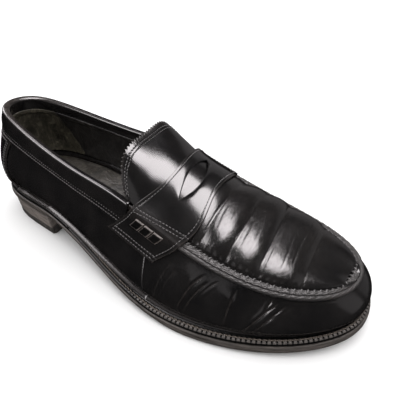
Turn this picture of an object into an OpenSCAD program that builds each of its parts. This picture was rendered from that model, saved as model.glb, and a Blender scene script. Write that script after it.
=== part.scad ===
// Penny loafer, right shoe. Toe towards +X, medial side towards +Y, up +Z.
// Millimetres. The origin is under the middle of the shoe, on the plane it stands on.
//
// Every curve that runs round the shoe uses one station number, u, from 0 to 20:
// 0 is the back of the heel, 1 to 9 the lateral side, 10 the toe, 11 to 19 the medial side.

/* [Sole] */
// Thickness of the leather outsole
outsole_t = 5; // [4:0.5:6]
// Thickness of the welt and of the heel rand
welt_t = 3.2; // [2.5:0.1:4]
// Height of the outsole's underside at the heel breast
heel_h = 19; // [17:0.5:24]
// How far the toe of the outsole lifts from the floor
toe_spring = 7; // [4:1:10]
// Thickness of the rubber top piece under the heel
top_piece_t = 6; // [5:0.5:7]

/* [Upper] */
// Thickness of the upper leather
leather_t = 1.3; // [1.1:0.1:1.4]
// Thickness of the lining leather
lining_t = 0.9; // [0.7:0.1:1]
// Thickness of the heel stiffener and of the toe puff
stiffener_t = 1.1; // [0.9:0.1:1.2]
// Width of the raised bead along the moccasin seam
bead_w = 4.4; // [3.5:0.1:5]
// Height of that bead above the leather
bead_h = 2.2; // [1.5:0.1:2.6]
// Outward bulge of the side walls
wall_bulge = 6; // [3:0.5:8]

/* [Hidden] */

stations = 20;
// moves the shoe so that the origin is under the middle of its box
centre_shift = [2.9, 3.15, 0];

// Outline of the outsole, one control point a station
SOLE = [[-154, -1], [-150, -24], [-128, -36.5], [-94, -39], [-53, -43], [-11, -53], [33, -63],
    [77, -59], [118, -43], [147, -17], [152, 9], [142, 36], [118, 49], [82, 55], [42, 55],
    [0, 44], [-46, 34], [-90, 33.5], [-122, 33], [-146, 20]];
// Topline at the back and moccasin seam at the front, one control point a station
TOP = [[-147, 0, 88], [-139, -18.5, 88], [-115, -25, 82], [-82, -29.5, 74], [-43, -33.5, 67],
    [-8, -36, 65.5], [28, -40, 58], [67, -42, 46], [105, -35, 38], [132, -15, 34],
    [140, 7, 32], [134, 28, 33], [109, 40, 36], [69, 41, 43.5], [28, 39.5, 55.5],
    [-9, 40, 65.5], [-45, 38, 66.5], [-86, 34, 72], [-119, 28, 79], [-141, 19, 85]];
// Rise of the apron and tongue at x, per square millimetre of half width
CROWN = [[-45, .032], [-25, .025], [-5, .0165], [15, .0125], [45, .0105], [70, .0085],
    [110, .006], [140, .006]];
// Extra height of the tongue's shoulders at x
SHOULDER = [[-12, 9], [2, 5.5], [14, 1], [24, 0]];

x_breast = -79;     // heel breast
x_ball = 45;        // where the ball of the foot touches the floor
x_toe = 149;        // front of the outsole
waist_slope = -0.13;
gap = 0.15;         // clearance between neighbouring layers
step = 0.4;         // spacing of the upper's common grid along u
sole_step = 0.2;    // spacing of the sole's common grid along u
rows = 8;           // spaces of the common grid up a wall
sole_top = outsole_t + gap + welt_t;   // feather line above the outsole's underside
insole_t = 2.6;
foam_t = 2;
sock_t = 1.1;
cavity_floor = sole_top + insole_t + foam_t + sock_t + 3 * gap;
// depths of the layers, measured inwards from the outside of the upper
stiffener_in = leather_t + gap;
lining_in = stiffener_in + stiffener_t + gap;
tongue_hinge_u = 5.5;   // station of the line that the tongue flexes about
black = [0.07, 0.07, 0.075];
thread = [0.16, 0.14, 0.13];
stack_brown = [0.33, 0.28, 0.25];
lining_tan = [0.35, 0.31, 0.25];

// ---- curves ----
function wrap(i) = ((i % stations) + stations) % stations;
function spline_weights(t) = [pow(1 - t, 3), 3 * t * t * t - 6 * t * t + 4,
    -3 * t * t * t + 3 * t * t + 3 * t + 1, t * t * t] / 6;
function curve(points, u) =
    let (k = floor(u), w = spline_weights(u - k))
    w[0] * points[wrap(k - 1)] + w[1] * points[wrap(k)]
    + w[2] * points[wrap(k + 1)] + w[3] * points[wrap(k + 2)];
function unit(v) = v / norm(v);
function smooth(x, middle, width) = 1 / (1 + exp(-(x - middle) / width));

// Height of the outsole's underside
function underside(x) =
    let (w = x_ball - x_breast, t = (x - x_breast) / w)
    x < x_breast ? heel_h :
    x > x_ball ? toe_spring * pow((x - x_ball) / (x_toe - x_ball), 2) :
    (2 * t * t * t - 3 * t * t + 1) * heel_h + (t * t * t - 2 * t * t + t) * w * waist_slope;

function sole_out(u) = let (d = unit(curve(SOLE, u + 0.01) - curve(SOLE, u - 0.01))) [d.y, -d.x];
function sole_at(u, inset) = curve(SOLE, u) - sole_out(u) * inset;
function lift(p, above) = [p.x, p.y, underside(p.x) + above];
function feather_inset(x) = 2.2 + 3.2 * smooth(x, -10, 14);
function feather(u) = lift(sole_at(u, feather_inset(curve(SOLE, u).x)), sole_top + gap);

// Side wall: u along the shoe, v from 0 at the feather line to 1 at the top curve
function wall(u, v) =
    let (f = feather(u), t = curve(TOP, u), n = [sole_out(u).x, sole_out(u).y, 0],
        front = smooth(t.x, 40, 18), heel = smooth(-t.x, 125, 8), h = t.z - f.z,
        low = f + n * (wall_bulge + 2.5 * front + 4 * heel) + [0, 0, 0.36 * h],
        high = t + n * (1 + 7 * front + 5 * heel) - [0, 0, 0.36 * h], w = 1 - v)
    w * w * w * f + 3 * w * w * v * low + 3 * w * v * v * high + v * v * v * t;

// Apron and tongue: q runs from -1, lateral, to 1, medial
function cap(u, q) =
    let (a = curve(TOP, u), b = curve(TOP, stations - u), half = norm(b - a) / 2,
        x = (a.x + b.x) / 2, rise = lookup(x, CROWN) * half * half)
    a * (1 - q) / 2 + b * (1 + q) / 2
    + [0, 0, (rise + 4 * lookup(x, SHOULDER) * q * q) * (1 - q * q)];

// Whole upper across the shoe: |s| below 1 is the apron, and above 1 the wall
function across(u, s) = abs(s) <= 1 ? cap(u, s) :
    s < 0 ? wall(u, 2 + s) : wall(stations - u, 2 - s);

// Outward unit normals
e = 0.02;
function wall_n(u, v) =
    unit(cross(wall(u + e, v) - wall(u - e, v), wall(u, v + e) - wall(u, v - e)));
function across_n(u, s) =
    unit(cross(across(u + e, s) - across(u - e, s), across(u, s + e) - across(u, s - e)));
function wall_off(u, v, d) = wall(u, v) + wall_n(u, v) * d;
function across_off(u, s, d) = across(u, s) + across_n(u, s) * d;

// ---- solids ----
// A sheet with an outer and an inner grid of points, closed along its four edges.
// With ring = true the last row joins the first.
module shell(outer, inner, ring = false) {
    n = len(outer);
    m = len(outer[0]);
    half = n * m;
    last = ring ? n : n - 1;
    at = function (i, j) (i % n) * m + j;
    polyhedron([for (row = outer) each row, for (row = inner) each row], [
        for (i = [0 : last - 1], j = [0 : m - 2]) let (a = at(i, j), b = at(i + 1, j),
            c = at(i + 1, j + 1), d = at(i, j + 1))
            each [[a, c, b], [a, d, c], [half + a, half + b, half + c], [half + a, half + c, half + d]],
        for (i = [0 : last - 1]) let (a = at(i, 0), b = at(i + 1, 0))
            each [[a, b, half + b], [a, half + b, half + a]],
        for (i = [0 : last - 1]) let (a = at(i, m - 1), b = at(i + 1, m - 1))
            each [[a, half + b, b], [a, half + a, half + b]],
        if (!ring) for (j = [0 : m - 2]) let (a = j, b = j + 1)
            each [[a, half + b, b], [a, half + a, half + b]],
        if (!ring) for (j = [0 : m - 2]) let (a = at(n - 1, j), b = at(n - 1, j + 1))
            each [[a, b, half + b], [a, half + b, half + a]]], convexity = 8);
}

// A sheet on the side wall between depths d0 (outer) and d1 (inner)
module wall_sheet(us, vs, d0, d1) {
    shell([for (u = us) [for (v = vs) wall_off(u, v, d0)]],
        [for (u = us) [for (v = vs) wall_off(u, v, d1)]]);
}

// A flat plate that follows the outsole's underside, between two heights above it
module sole_plate(inset, low, high, u0 = 0, u1 = 10) {
    n = round((u1 - u0) / sole_step);
    us = [for (i = [0 : n]) u0 + (u1 - u0) * min(0.985, max(0.015, i / n))];
    edge = function (u, side, h) lift(sole_at(side < 0 ? u : stations - u, inset), h);
    shell([for (u = us) [for (k = [0 : 4]) let (p = edge(u, -1, 0), q = edge(u, 1, 0),
            x = p + (q - p) * k / 4) lift(x, high)]],
        [for (u = us) [for (k = [0 : 4]) let (p = edge(u, -1, 0), q = edge(u, 1, 0),
            x = p + (q - p) * k / 4) lift(x, low)]]);
}

// A strip along the edge of the sole, between two insets and two heights
module edge_strip(u0, u1, out, inside, low, high) {
    n = round((u1 - u0) / sole_step);
    us = [for (i = [0 : n]) u0 + (u1 - u0) * i / n];
    shell([for (u = us) [lift(sole_at(u, out), high), lift(sole_at(u, inside), high)]],
        [for (u = us) [lift(sole_at(u, out), low), lift(sole_at(u, inside), low)]]);
}

// One row of thread: a thin ridge along a list of points, each with its outward normal
module thread_row(points, normals, width = 0.7, height = 0.35) {
    n = len(points);
    side = [for (i = [0 : n - 1])
        unit(cross(points[min(i + 1, n - 1)] - points[max(i - 1, 0)], normals[i])) * width / 2];
    shell([for (i = [0 : n - 1]) let (p = points[i] + normals[i] * height) [p + side[i], p - side[i]]],
        [for (i = [0 : n - 1]) [points[i] + side[i], points[i] - side[i]]]);
}

// A thread row on the wall at depth d; uv is a list of [u, v]
module wall_thread(uv, d) {
    thread_row([for (p = uv) wall_off(p[0], p[1], d)], [for (p = uv) wall_n(p[0], p[1])]);
}

// A thread row on the strap, apron or tongue at depth d; us is a list of [u, s]
module across_thread(us, d) {
    thread_row([for (p = us) across_off(p[0], p[1], d)], [for (p = us) across_n(p[0], p[1])]);
}

module placed() {
    translate(centre_shift) children();
}

// ---- heel ----
heel_u = 3.25;      // stations from the back of the heel to its breast
breast_hollow = 4;  // depth of the breast's curve

function heel_outline(inset) =
    let (a = sole_at(heel_u, inset), b = sole_at(-heel_u, inset))
    concat([for (i = [-13 : 13]) sole_at(i * heel_u / 13, inset)],
        [for (i = [1 : 7]) let (t = i / 8)
            a * (1 - t) + b * t - [4 * breast_hollow * t * (1 - t), 0]]);

lift_t = (heel_h - top_piece_t - 3 * gap) / 3;

module heel_layer(index, inset) {
    placed() translate([0, 0, top_piece_t + gap + index * (lift_t + gap)])
        linear_extrude(lift_t - (index == 2 ? gap : 0)) polygon(heel_outline(inset));
}

module top_piece() {
    color([0.12, 0.12, 0.12]) placed() linear_extrude(top_piece_t) polygon(heel_outline(2.6));
}

module heel_lift_1() { color(stack_brown) heel_layer(0, 2.2); }
module heel_lift_2() { color(stack_brown) heel_layer(1, 1.8); }
module heel_lift_3() { color(stack_brown) heel_layer(2, 1.4); }

// Nails that hold the lifts to the heel seat
nail_r = 1;
module heel_nails() {
    color("silver") placed() for (u = [-2.4 : 0.8 : 2.4]) let (p = sole_at(u, 10))
        translate([p.x, p.y, top_piece_t / 2]) cylinder(h = heel_h - top_piece_t / 2 - 1, r = nail_r, $fn = 24);
}

// ---- sole ----
module outsole() { color(stack_brown) placed() sole_plate(0, 0, outsole_t); }

welt_u = 4;         // the welt starts and ends this many stations from the heel
welt_w = 15;

module welt() {
    color(stack_brown * 0.8) placed()
        edge_strip(welt_u, stations - welt_u, 0.6, welt_w, outsole_t + gap, sole_top);
}

module heel_rand() {
    color(stack_brown * 0.8) placed()
        edge_strip(-welt_u + sole_step, welt_u - sole_step, 0.6, welt_w, outsole_t + 2 * gap, sole_top);
}

module welt_stitching() {
    color(thread) placed() edge_strip(welt_u + 0.4, stations - welt_u - 0.4, 1.4, 2.2,
        sole_top + gap / 2, sole_top + 0.45);
}

shank_l = 95;
shank_w = 14;

module shank() {
    n = 14;
    middle = -2;
    xs = [for (i = [0 : n]) -108 + shank_l * i / n];
    strip = function (h) [for (x = xs) [for (y = [-1, 1]) [x, middle - y * shank_w / 2, underside(x) + h]]];
    color("silver") placed() shell([for (r = strip(outsole_t + gap + 2)) [r[1], r[0]]],
        [for (r = strip(outsole_t + gap)) [r[1], r[0]]]);
}

module cork_filler() {
    color([0.6, 0.45, 0.3]) placed()
        sole_plate(welt_w + 0.4, outsole_t + gap, sole_top - gap, 5, 10);
}

insole_inset = 9.5;

module insole() {
    color([0.6, 0.5, 0.4]) placed()
        sole_plate(insole_inset, sole_top + gap, sole_top + gap + insole_t);
}

module heel_foam_pad() {
    color([0.8, 0.78, 0.7]) placed()
        sole_plate(insole_inset + 2, sole_top + insole_t + 2 * gap,
            sole_top + insole_t + 2 * gap + foam_t, 0, 4);
}

module sock_lining() {
    color(lining_tan) placed() sole_plate(insole_inset + 0.6, cavity_floor - sock_t, cavity_floor);
}

// ---- upper ----
side_seam_u = 14.8;     // where the vamp meets the medial quarter
wall_vs = [for (j = [0 : rows]) j / rows];

function grid(u0, u1) = let (n = round((u1 - u0) / step)) [for (i = [0 : n]) u0 + (u1 - u0) * i / n];

module vamp_and_lateral_quarter() {
    color(black) placed()
        wall_sheet(concat([0.02], [for (u = [step : step : side_seam_u]) u]), wall_vs, 0, -leather_t);
}

module medial_quarter() {
    color(black) placed() wall_sheet(concat([side_seam_u + 0.02],
        [for (u = [side_seam_u + step : step : 19.7]) u], [19.98]), wall_vs, 0, -leather_t);
}

module side_seam_stitching() {
    color(thread) placed()
        wall_thread([for (j = [1 : 6]) [side_seam_u + 0.25, j * 0.11]], gap);
}

apron_edge = 0.945;

module apron() {
    qs = [for (j = [-6 : 6]) apron_edge * j / 6];
    rear = tongue_hinge_u + 0.06;
    us = [for (i = [0 : 16]) rear + (9.78 - rear) * i / 16];
    color(black) placed() shell([for (u = us) [for (q = qs) across_off(u, q, 0)]],
        [for (u = us) [for (q = qs) across_off(u, q, -leather_t)]]);
}

// Bead over the seam between the wall and the apron
bead_u0 = 6.6;          // the bead comes out from under the strap

module moc_seam_bead() {
    n = 34;
    us = [for (i = [0 : n]) bead_u0 + (stations - 2 * bead_u0) * i / n];
    ring = function (u, h) let (t = curve(TOP, u), n1 = wall_n(u, 0.9),
        up = unit([n1.x * 0.35, n1.y * 0.35, 1]),
        out = unit(cross(up, unit(curve(TOP, u + 0.1) - curve(TOP, u - 0.1)))))
        [for (k = [0 : 5]) let (a = 180 * k / 5)
            t + up * (0.5 + h * sin(a)) - out * (bead_w / 2 * cos(a))];
    color(black) placed() shell([for (u = us) ring(u, bead_h)], [for (u = us) ring(u, 0)]);
}

module apron_stitching() {
    n = 18;
    last = 8.9;
    side = [for (i = [0 : n]) bead_u0 + 0.1 + (last - bead_u0 - 0.1) * i / n];
    from_seam = bead_w / 2 + 1.4;
    q = function (u) 1 - 2 * from_seam / norm(curve(TOP, u) - curve(TOP, stations - u));
    color(thread) placed() across_thread(concat([for (u = side) [u, -q(u)]],
        [[9.08, -0.55], [9.15, -0.2], [9.15, 0.2], [9.08, 0.55]],
        [for (i = [n : -1 : 0]) [side[i], q(side[i])]]), gap);
}

module toe_puff() {
    color([0.75, 0.7, 0.6]) placed() wall_sheet(grid(8.4, 11.6), [for (j = [1 : rows - 1]) j / rows],
        -stiffener_in, -stiffener_in - stiffener_t);
}

lining_rows = 6;

module vamp_lining() {
    us = concat([5.62], [for (u = [6 : step : 9.2]) u], [9.5]);
    ss = concat([for (j = [1 : lining_rows]) -2 + j / (lining_rows + 1)],
        [for (j = [-3 : 3]) 0.9 * j / 3],
        [for (j = [1 : lining_rows]) 1 + j / (lining_rows + 1)]);
    color(lining_tan) placed() shell(
        [for (u = us) [for (s = ss) across_off(u, s, -lining_in)]],
        [for (u = us) [for (s = ss) across_off(u, s, -lining_in - lining_t)]]);
}

heel_grip_u = 2.4;      // the heel grip lines the back of the shoe this far round each side

module heel_grip() {
    n = round(heel_grip_u / step);
    color(lining_tan) placed() wall_sheet([for (i = [-n : n]) i * step],
        [for (j = [1 : rows - 2]) j / rows], -lining_in, -lining_in - lining_t);
}

module quarter_lining() {
    us = concat([heel_grip_u + 0.05], [for (u = [heel_grip_u + step : step : 5.6]) u]);
    color(black * 1.5) placed() for (side = [-1, 1])
        wall_sheet(side > 0 ? us : [for (i = [len(us) - 1 : -1 : 0]) -us[i]],
            [for (j = [1 : rows - 2]) j / rows], -lining_in, -lining_in - lining_t);
}

module heel_stiffener() {
    us = [for (i = [-6 : 6]) i * step];
    color([0.75, 0.7, 0.6]) placed() wall_sheet(us, [for (j = [1 : rows - 3]) j / rows],
        -stiffener_in, -stiffener_in - stiffener_t);
}

// Front edge of the counter cover, in stations from the back of the heel
function cover_edge(v) = 1.75 + 0.45 * pow(2 * v - 1, 2);

cover_top = 0.67;       // the cover ends just under the collar

module counter_cover() {
    vs = [for (j = [0 : rows]) 0.02 + (cover_top - 0.02) * j / rows];
    n = 12;
    points = function (d) [for (i = [-n : n]) [for (v = vs) wall_off(cover_edge(v) * i / n, v, d)]];
    color(black) placed() shell(points(gap + leather_t), points(gap));
}

module counter_stitching() {
    color(thread) placed() for (side = [-1, 1])
        wall_thread([for (j = [1 : 9]) let (v = cover_top * j / 10)
            [side * (cover_edge(v) - 0.12), v]], gap + leather_t + gap / 2);
}

// ---- collar ----
collar_u = 5.25;        // the collar runs this far from the back, to the strap's ends
collar_low = 0.7;       // its lower edge on the outside
collar_grid = [for (i = [0 : 26]) collar_u * (i - 13) / 13];

// Facing that wraps over the topline: outside, over the edge and down the inside
module collar_facing() {
    color(black) placed() {
        out = function (d) [for (u = collar_grid) concat(
            [for (v = [collar_low, 0.8, 0.9, 1]) wall_off(u, v, d)],
            [wall_off(u, 1, -(lining_in + lining_t) / 2) + [0, 0, 0.7 + d]],
            [for (v = [1, 0.9, 0.84]) wall_off(u, v, -lining_in - lining_t + gap - d)])];
        shell(out(gap + leather_t), out(gap));
    }
}

module collar_padding() {
    color([0.8, 0.78, 0.7]) placed() wall_sheet(collar_grid, [0.8, 0.88, 0.96],
        -leather_t - gap, -leather_t - stiffener_t);
}

module topline_tape() {
    color([0.85, 0.83, 0.78]) placed() wall_sheet(collar_grid, [0.88, 0.96],
        -leather_t - stiffener_t - gap, -leather_t - stiffener_t - 0.5);
}

module collar_stitching() {
    color(thread) placed() for (v = [collar_low + 0.03, collar_low + 0.06])
        wall_thread([for (i = [1 : 25]) [collar_grid[i], v]], gap * 1.5 + leather_t);
}

// ---- strap ----
strap_d = 0.35;         // clearance between the strap and the leather under it
strap_end = 1.38;       // how far the ends reach down the walls
bead_lift = 0.8;        // how far the strap rises where it crosses the seam

// Stations of the strap's rear and front edges at each place across the shoe
STRAP_REAR = [[-1.38, 5.1], [-1.2, 5.31], [-1, 5.53], [-0.8, 5.72], [-0.6, 5.79], [-0.4, 5.83],
    [-0.1, 5.82], [0.36, 5.68], [0.7, 5.6], [1, 5.46], [1.2, 5.28], [1.38, 5.1]];
STRAP_FRONT = [[-1.38, 6.1], [-1.16, 6.38], [-1, 6.52], [-0.8, 6.62], [-0.6, 6.65], [-0.35, 6.59],
    [-0.05, 6.49], [0.25, 6.51], [0.5, 6.42], [0.75, 6.35], [1, 6.25], [1.2, 6.12], [1.38, 5.98]];
function strap_rear(s) = lookup(s, STRAP_REAR);
function strap_front(s) = lookup(s, STRAP_FRONT);
function strap_point(s, t, d) = let (u = strap_rear(s) * (1 - t) + strap_front(s) * t)
    across_off(u, s, strap_d + d + bead_lift * exp(-pow((abs(s) - 1) / 0.12, 2)));
strap_ss = concat([for (j = [0 : 3]) -strap_end + j * 0.1], [-1.04, -0.96],
    [for (j = [-5 : 5]) j * 0.17], [0.96, 1.04], [for (j = [3 : -1 : 0]) strap_end - j * 0.1]);

module strap_sheet(d0, d1, t0 = 0, t1 = 1) {
    ts = [for (i = [0 : 8]) t0 + (t1 - t0) * i / 8];
    shell([for (t = ts) [for (s = strap_ss) strap_point(s, t, d0)]],
        [for (t = ts) [for (s = strap_ss) strap_point(s, t, d1)]]);
}

// The penny slot: rounded at the back, with a point in the middle of its front edge
SLOT_REAR = [[6.17, -0.58], [6.09, -0.39], [6.01, -0.16], [5.96, 0.06], [5.94, 0.27], [5.93, 0.46]];
SLOT_FRONT = [[6.07, 0.29], [6.16, 0.16], [6.25, -0.02], [6.27, -0.15], [6.26, -0.33], [6.22, -0.45]];
module slot_cutter() {
    outline = [for (p = concat(SLOT_REAR, SLOT_FRONT)) let (x = across(p[0], p[1])) [x.x, x.y]];
    translate([0, 0, 60]) linear_extrude(40) polygon(outline);
}

module strap() {
    color(black) placed() difference() {
        strap_sheet(lining_t + gap + leather_t, lining_t + gap);
        slot_cutter();
    }
}

module strap_lining() {
    color(black) placed() strap_sheet(lining_t, 0, 0.03, 0.97);
}

// Three woven squares near the end of the strap
lace_s = 1.11;          // middle of the squares, across the shoe
lace_half_s = 0.07;
lace_t0 = 0.285;        // middle of the first square, from the strap's rear edge
lace_pitch = 0.19;
lace_half_t = 0.09;

module lace(side) {
    top = lining_t + gap + leather_t + gap;
    corner = function (k, a, b, d) strap_point(side * lace_s + b * lace_half_s,
        lace_t0 + lace_pitch * k + a * lace_half_t, top + d);
    for (k = [0 : 2])
        shell([for (a = [-1, 1]) [for (b = [-1, 1]) corner(k, a, b, 0.7)]],
            [for (a = [-1, 1]) [for (b = [-1, 1]) corner(k, a, b, 0)]]);
}

module strap_lace_lateral() { color(black * 0.8) placed() lace(-1); }
module strap_lace_medial() { color(black * 0.8) placed() lace(1); }

module strap_stitching() {
    top = lining_t + leather_t + 3 * gap;
    color(thread) placed() for (t = [0.07, 0.93]) {
        us = [for (s = strap_ss) strap_point(s, t, top)];
        ns = [for (s = strap_ss) across_n(strap_rear(s) * (1 - t) + strap_front(s) * t, s)];
        thread_row(us, ns);
    }
}

// ---- tongue ----
// It lies behind the strap and flexes up about a line across its root.
tongue_half = 0.86;
function tongue_edge(q) = 5 - 0.08 * q + 0.17 * pow(q, 8);
function tongue_point(q, t, d) = across_off(
    tongue_hinge_u * (1 - t) + tongue_edge(q) * t, q * tongue_half, d);

module tongue_sheet(d0, d1, t1 = 1) {
    ts = [for (i = [0 : 6]) t1 * (1 - i / 6)];
    qs = [for (j = [-6 : 6]) j / 6];
    shell([for (t = ts) [for (q = qs) tongue_point(q, t, d0)]],
        [for (t = ts) [for (q = qs) tongue_point(q, t, d1)]]);
}

module tongue() { color(black) placed() tongue_sheet(0, -leather_t); }

module tongue_lining() {
    color(lining_tan) placed() tongue_sheet(-leather_t - gap, -leather_t - gap - lining_t, 0.96);
}

module tongue_stitching() {
    color(thread) placed() {
        qs = [for (j = [-7 : 7]) j / 8];
        us = [for (q = qs) tongue_point(q, 0.86, gap)];
        ns = [for (q = qs) across_n(tongue_hinge_u * 0.14 + tongue_edge(q) * 0.86, q * tongue_half)];
        thread_row(us, ns);
    }
}

top_piece();
heel_lift_1();
heel_lift_2();
heel_lift_3();
heel_nails();
outsole();
welt();
heel_rand();
welt_stitching();
shank();
cork_filler();
insole();
heel_foam_pad();
sock_lining();
heel_grip();
vamp_and_lateral_quarter();
medial_quarter();
apron();
moc_seam_bead();
apron_stitching();
toe_puff();
vamp_lining();
quarter_lining();
heel_stiffener();
counter_cover();
counter_stitching();
collar_facing();
collar_padding();
topline_tape();
collar_stitching();
side_seam_stitching();
strap();
strap_lining();
strap_lace_lateral();
strap_lace_medial();
strap_stitching();
tongue();
tongue_lining();
tongue_stitching();
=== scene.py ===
"""Penny loafer, right shoe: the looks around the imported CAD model.

Shapes are worked out in millimetres in the shoe's own frame, the same one as in the CAD source,
and are moved and scaled to metres when a mesh is made. A station number u runs round the shoe:
0 is the back of the heel, 1 to 9 the lateral side, 10 the toe, 11 to 19 the medial side.
"""

import math

import bpy
import numpy as np
from mathutils import Matrix, Vector


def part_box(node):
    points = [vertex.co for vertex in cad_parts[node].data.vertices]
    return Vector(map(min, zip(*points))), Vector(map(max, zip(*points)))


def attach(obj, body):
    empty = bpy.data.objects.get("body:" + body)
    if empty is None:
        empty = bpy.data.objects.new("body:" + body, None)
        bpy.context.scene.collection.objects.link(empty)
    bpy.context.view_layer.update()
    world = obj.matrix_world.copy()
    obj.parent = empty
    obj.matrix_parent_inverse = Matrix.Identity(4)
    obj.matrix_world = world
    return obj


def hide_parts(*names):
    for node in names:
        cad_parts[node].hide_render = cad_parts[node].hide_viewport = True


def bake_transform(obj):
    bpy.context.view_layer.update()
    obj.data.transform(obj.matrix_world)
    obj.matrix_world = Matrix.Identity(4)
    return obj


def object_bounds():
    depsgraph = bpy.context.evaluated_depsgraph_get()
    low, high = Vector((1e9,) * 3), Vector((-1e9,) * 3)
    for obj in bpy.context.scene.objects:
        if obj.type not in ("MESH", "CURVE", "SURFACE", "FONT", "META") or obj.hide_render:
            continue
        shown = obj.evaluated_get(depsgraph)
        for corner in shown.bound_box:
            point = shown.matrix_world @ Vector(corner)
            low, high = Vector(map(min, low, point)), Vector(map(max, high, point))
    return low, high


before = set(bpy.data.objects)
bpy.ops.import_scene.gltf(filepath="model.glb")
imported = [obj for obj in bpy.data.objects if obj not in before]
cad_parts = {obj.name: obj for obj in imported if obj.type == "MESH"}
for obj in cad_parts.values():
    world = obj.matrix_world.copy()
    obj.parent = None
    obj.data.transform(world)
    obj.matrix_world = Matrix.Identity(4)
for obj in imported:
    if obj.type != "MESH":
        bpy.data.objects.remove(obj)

cad_low, cad_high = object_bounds()

STATIONS = 20
SOLE = np.array([
    (-154, -1), (-150, -24), (-128, -36.5), (-94, -39), (-53, -43), (-11, -53), (33, -63),
    (77, -59), (118, -43), (147, -17), (152, 9), (142, 36), (118, 49), (82, 55), (42, 55),
    (0, 44), (-46, 34), (-90, 33.5), (-122, 33), (-146, 20)], float)
TOP = np.array([
    (-147, 0, 88), (-139, -18.5, 88), (-115, -25, 82), (-82, -29.5, 74), (-43, -33.5, 67),
    (-8, -36, 65.5), (28, -40, 58), (67, -42, 46), (105, -35, 38), (132, -15, 34),
    (140, 7, 32), (134, 28, 33), (109, 40, 36), (69, 41, 43.5), (28, 39.5, 55.5),
    (-9, 40, 65.5), (-45, 38, 66.5), (-86, 34, 72), (-119, 28, 79), (-141, 19, 85)], float)
CROWN = np.array([
    (-45, .032), (-25, .025), (-5, .0165), (15, .0125), (45, .0105), (70, .0085),
    (110, .006), (140, .006)])
SHOULDER = np.array([(-12, 9), (2, 5.5), (14, 1), (24, 0)], float)


def softened(table, spread):
    """A table of (x, value) with its corners rounded off over spread mm."""
    xs = np.arange(-90.0, 190.0)
    values = np.interp(xs, table[:, 0], table[:, 1])
    kernel = np.exp(-((np.arange(-30, 31) / spread) ** 2))
    padded = np.pad(values, 30, mode="edge")
    return np.column_stack([xs, np.convolve(padded, kernel / kernel.sum(), mode="valid")])


SOFT_CROWN = softened(CROWN, 9)
SOFT_SHOULDER = softened(SHOULDER, 7)

# Heights and thicknesses, in mm
OUTSOLE_T, WELT_T, GAP = 5.0, 3.2, 0.15
HEEL_H, TOE_SPRING, TOP_PIECE_T = 19.0, 7.0, 6.0
LEATHER_T, LINING_T, STIFFENER_T = 1.3, 0.9, 1.1
X_BREAST, X_BALL, X_TOE, WAIST_SLOPE = -79.0, 45.0, 149.0, -0.13
WALL_BULGE = 6.0
FOOT_Z = 15            # rough height of the foot of the wall
SKIVED_T = 0.25        # leather pared thin where it turns out over the welt
SIDE_SEAM_U = 14.81    # station of the seam between vamp and medial quarter
COVER_TOP = 0.74       # top of the counter cover, from 0 at the foot of the wall to 1
LINING_END_U = 5.62    # front end of the quarter lining
SOLE_TOP = OUTSOLE_T + GAP + WELT_T
STIFFENER_IN = LEATHER_T + GAP
LINING_IN = STIFFENER_IN + STIFFENER_T + GAP
CAVITY_FLOOR = SOLE_TOP + 2.6 + 2 + 1.1 + 3 * GAP


# ---------------------------------------------------------------- curves and surfaces
def curve(points, u):
    """Point on the closed uniform cubic B-spline through the stations."""
    u = np.asarray(u, float)
    k = np.floor(u).astype(int)
    t = (u - k)[..., None]
    weights = ((1 - t) ** 3, 3 * t**3 - 6 * t**2 + 4, -3 * t**3 + 3 * t**2 + 3 * t + 1, t**3)
    return sum(w * points[(k + i - 1) % STATIONS] for i, w in enumerate(weights)) / 6


def unit(v):
    return v / np.maximum(np.linalg.norm(v, axis=-1, keepdims=True), 1e-9)


def smooth(x, middle, width):
    return 1 / (1 + np.exp(-(x - middle) / width))


def ramp(x, low, high):
    t = np.clip((x - low) / (high - low), 0, 1)
    return t * t * (3 - 2 * t)


def bump(x, middle, width):
    return np.exp(-(((x - middle) / width) ** 2))


def underside(x):
    """Height of the outsole's underside."""
    w = X_BALL - X_BREAST
    t = np.clip((x - X_BREAST) / w, 0, 1)
    waist = (2 * t**3 - 3 * t**2 + 1) * HEEL_H + (t**3 - 2 * t**2 + t) * w * WAIST_SLOPE
    toe = TOE_SPRING * (np.maximum(x - X_BALL, 0) / (X_TOE - X_BALL)) ** 2
    return np.where(x > X_BALL, toe, waist)


def sole_out(u):
    d = unit(curve(SOLE, np.asarray(u) + 0.01) - curve(SOLE, np.asarray(u) - 0.01))
    return np.stack([d[..., 1], -d[..., 0]], -1)


def sole_at(u, inset):
    return curve(SOLE, u) - sole_out(u) * np.asarray(inset)[..., None]


def lift(p, above):
    z = underside(p[..., 0]) + above
    return np.stack([p[..., 0], p[..., 1], z], -1)


def from_heel(u):
    """Stations from the back of the heel, the same on both sides of the shoe."""
    return np.minimum(np.abs(u), STATIONS - np.abs(u))


def wall_rise(u, v):
    """Height above the foot of the wall, in mm."""
    return v * (curve(TOP, u)[..., 2] - FOOT_Z)


def feather(u):
    inset = 2.2 + 3.2 * smooth(curve(SOLE, u)[..., 0], -10, 14)
    return lift(sole_at(u, inset), SOLE_TOP + GAP)


def wall(u, v):
    """Side of the upper: v is 0 at the feather line and 1 at the top curve."""
    u, v = np.broadcast_arrays(np.asarray(u, float), np.asarray(v, float))
    foot, top = feather(u), curve(TOP, u)
    n = np.concatenate([sole_out(u), np.zeros(u.shape + (1,))], -1)
    front, heel = smooth(top[..., :1], 40, 18), smooth(-top[..., :1], 125, 8)
    h = (top - foot)[..., 2:] * np.array([0, 0, 0.36])
    low = foot + n * (WALL_BULGE + 2.5 * front + 4 * heel) + h
    high = top + n * (1 + 7 * front + 5 * heel) - h
    v = v[..., None]
    w = 1 - v
    return w**3 * foot + 3 * w * w * v * low + 3 * w * v * v * high + v**3 * top


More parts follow.
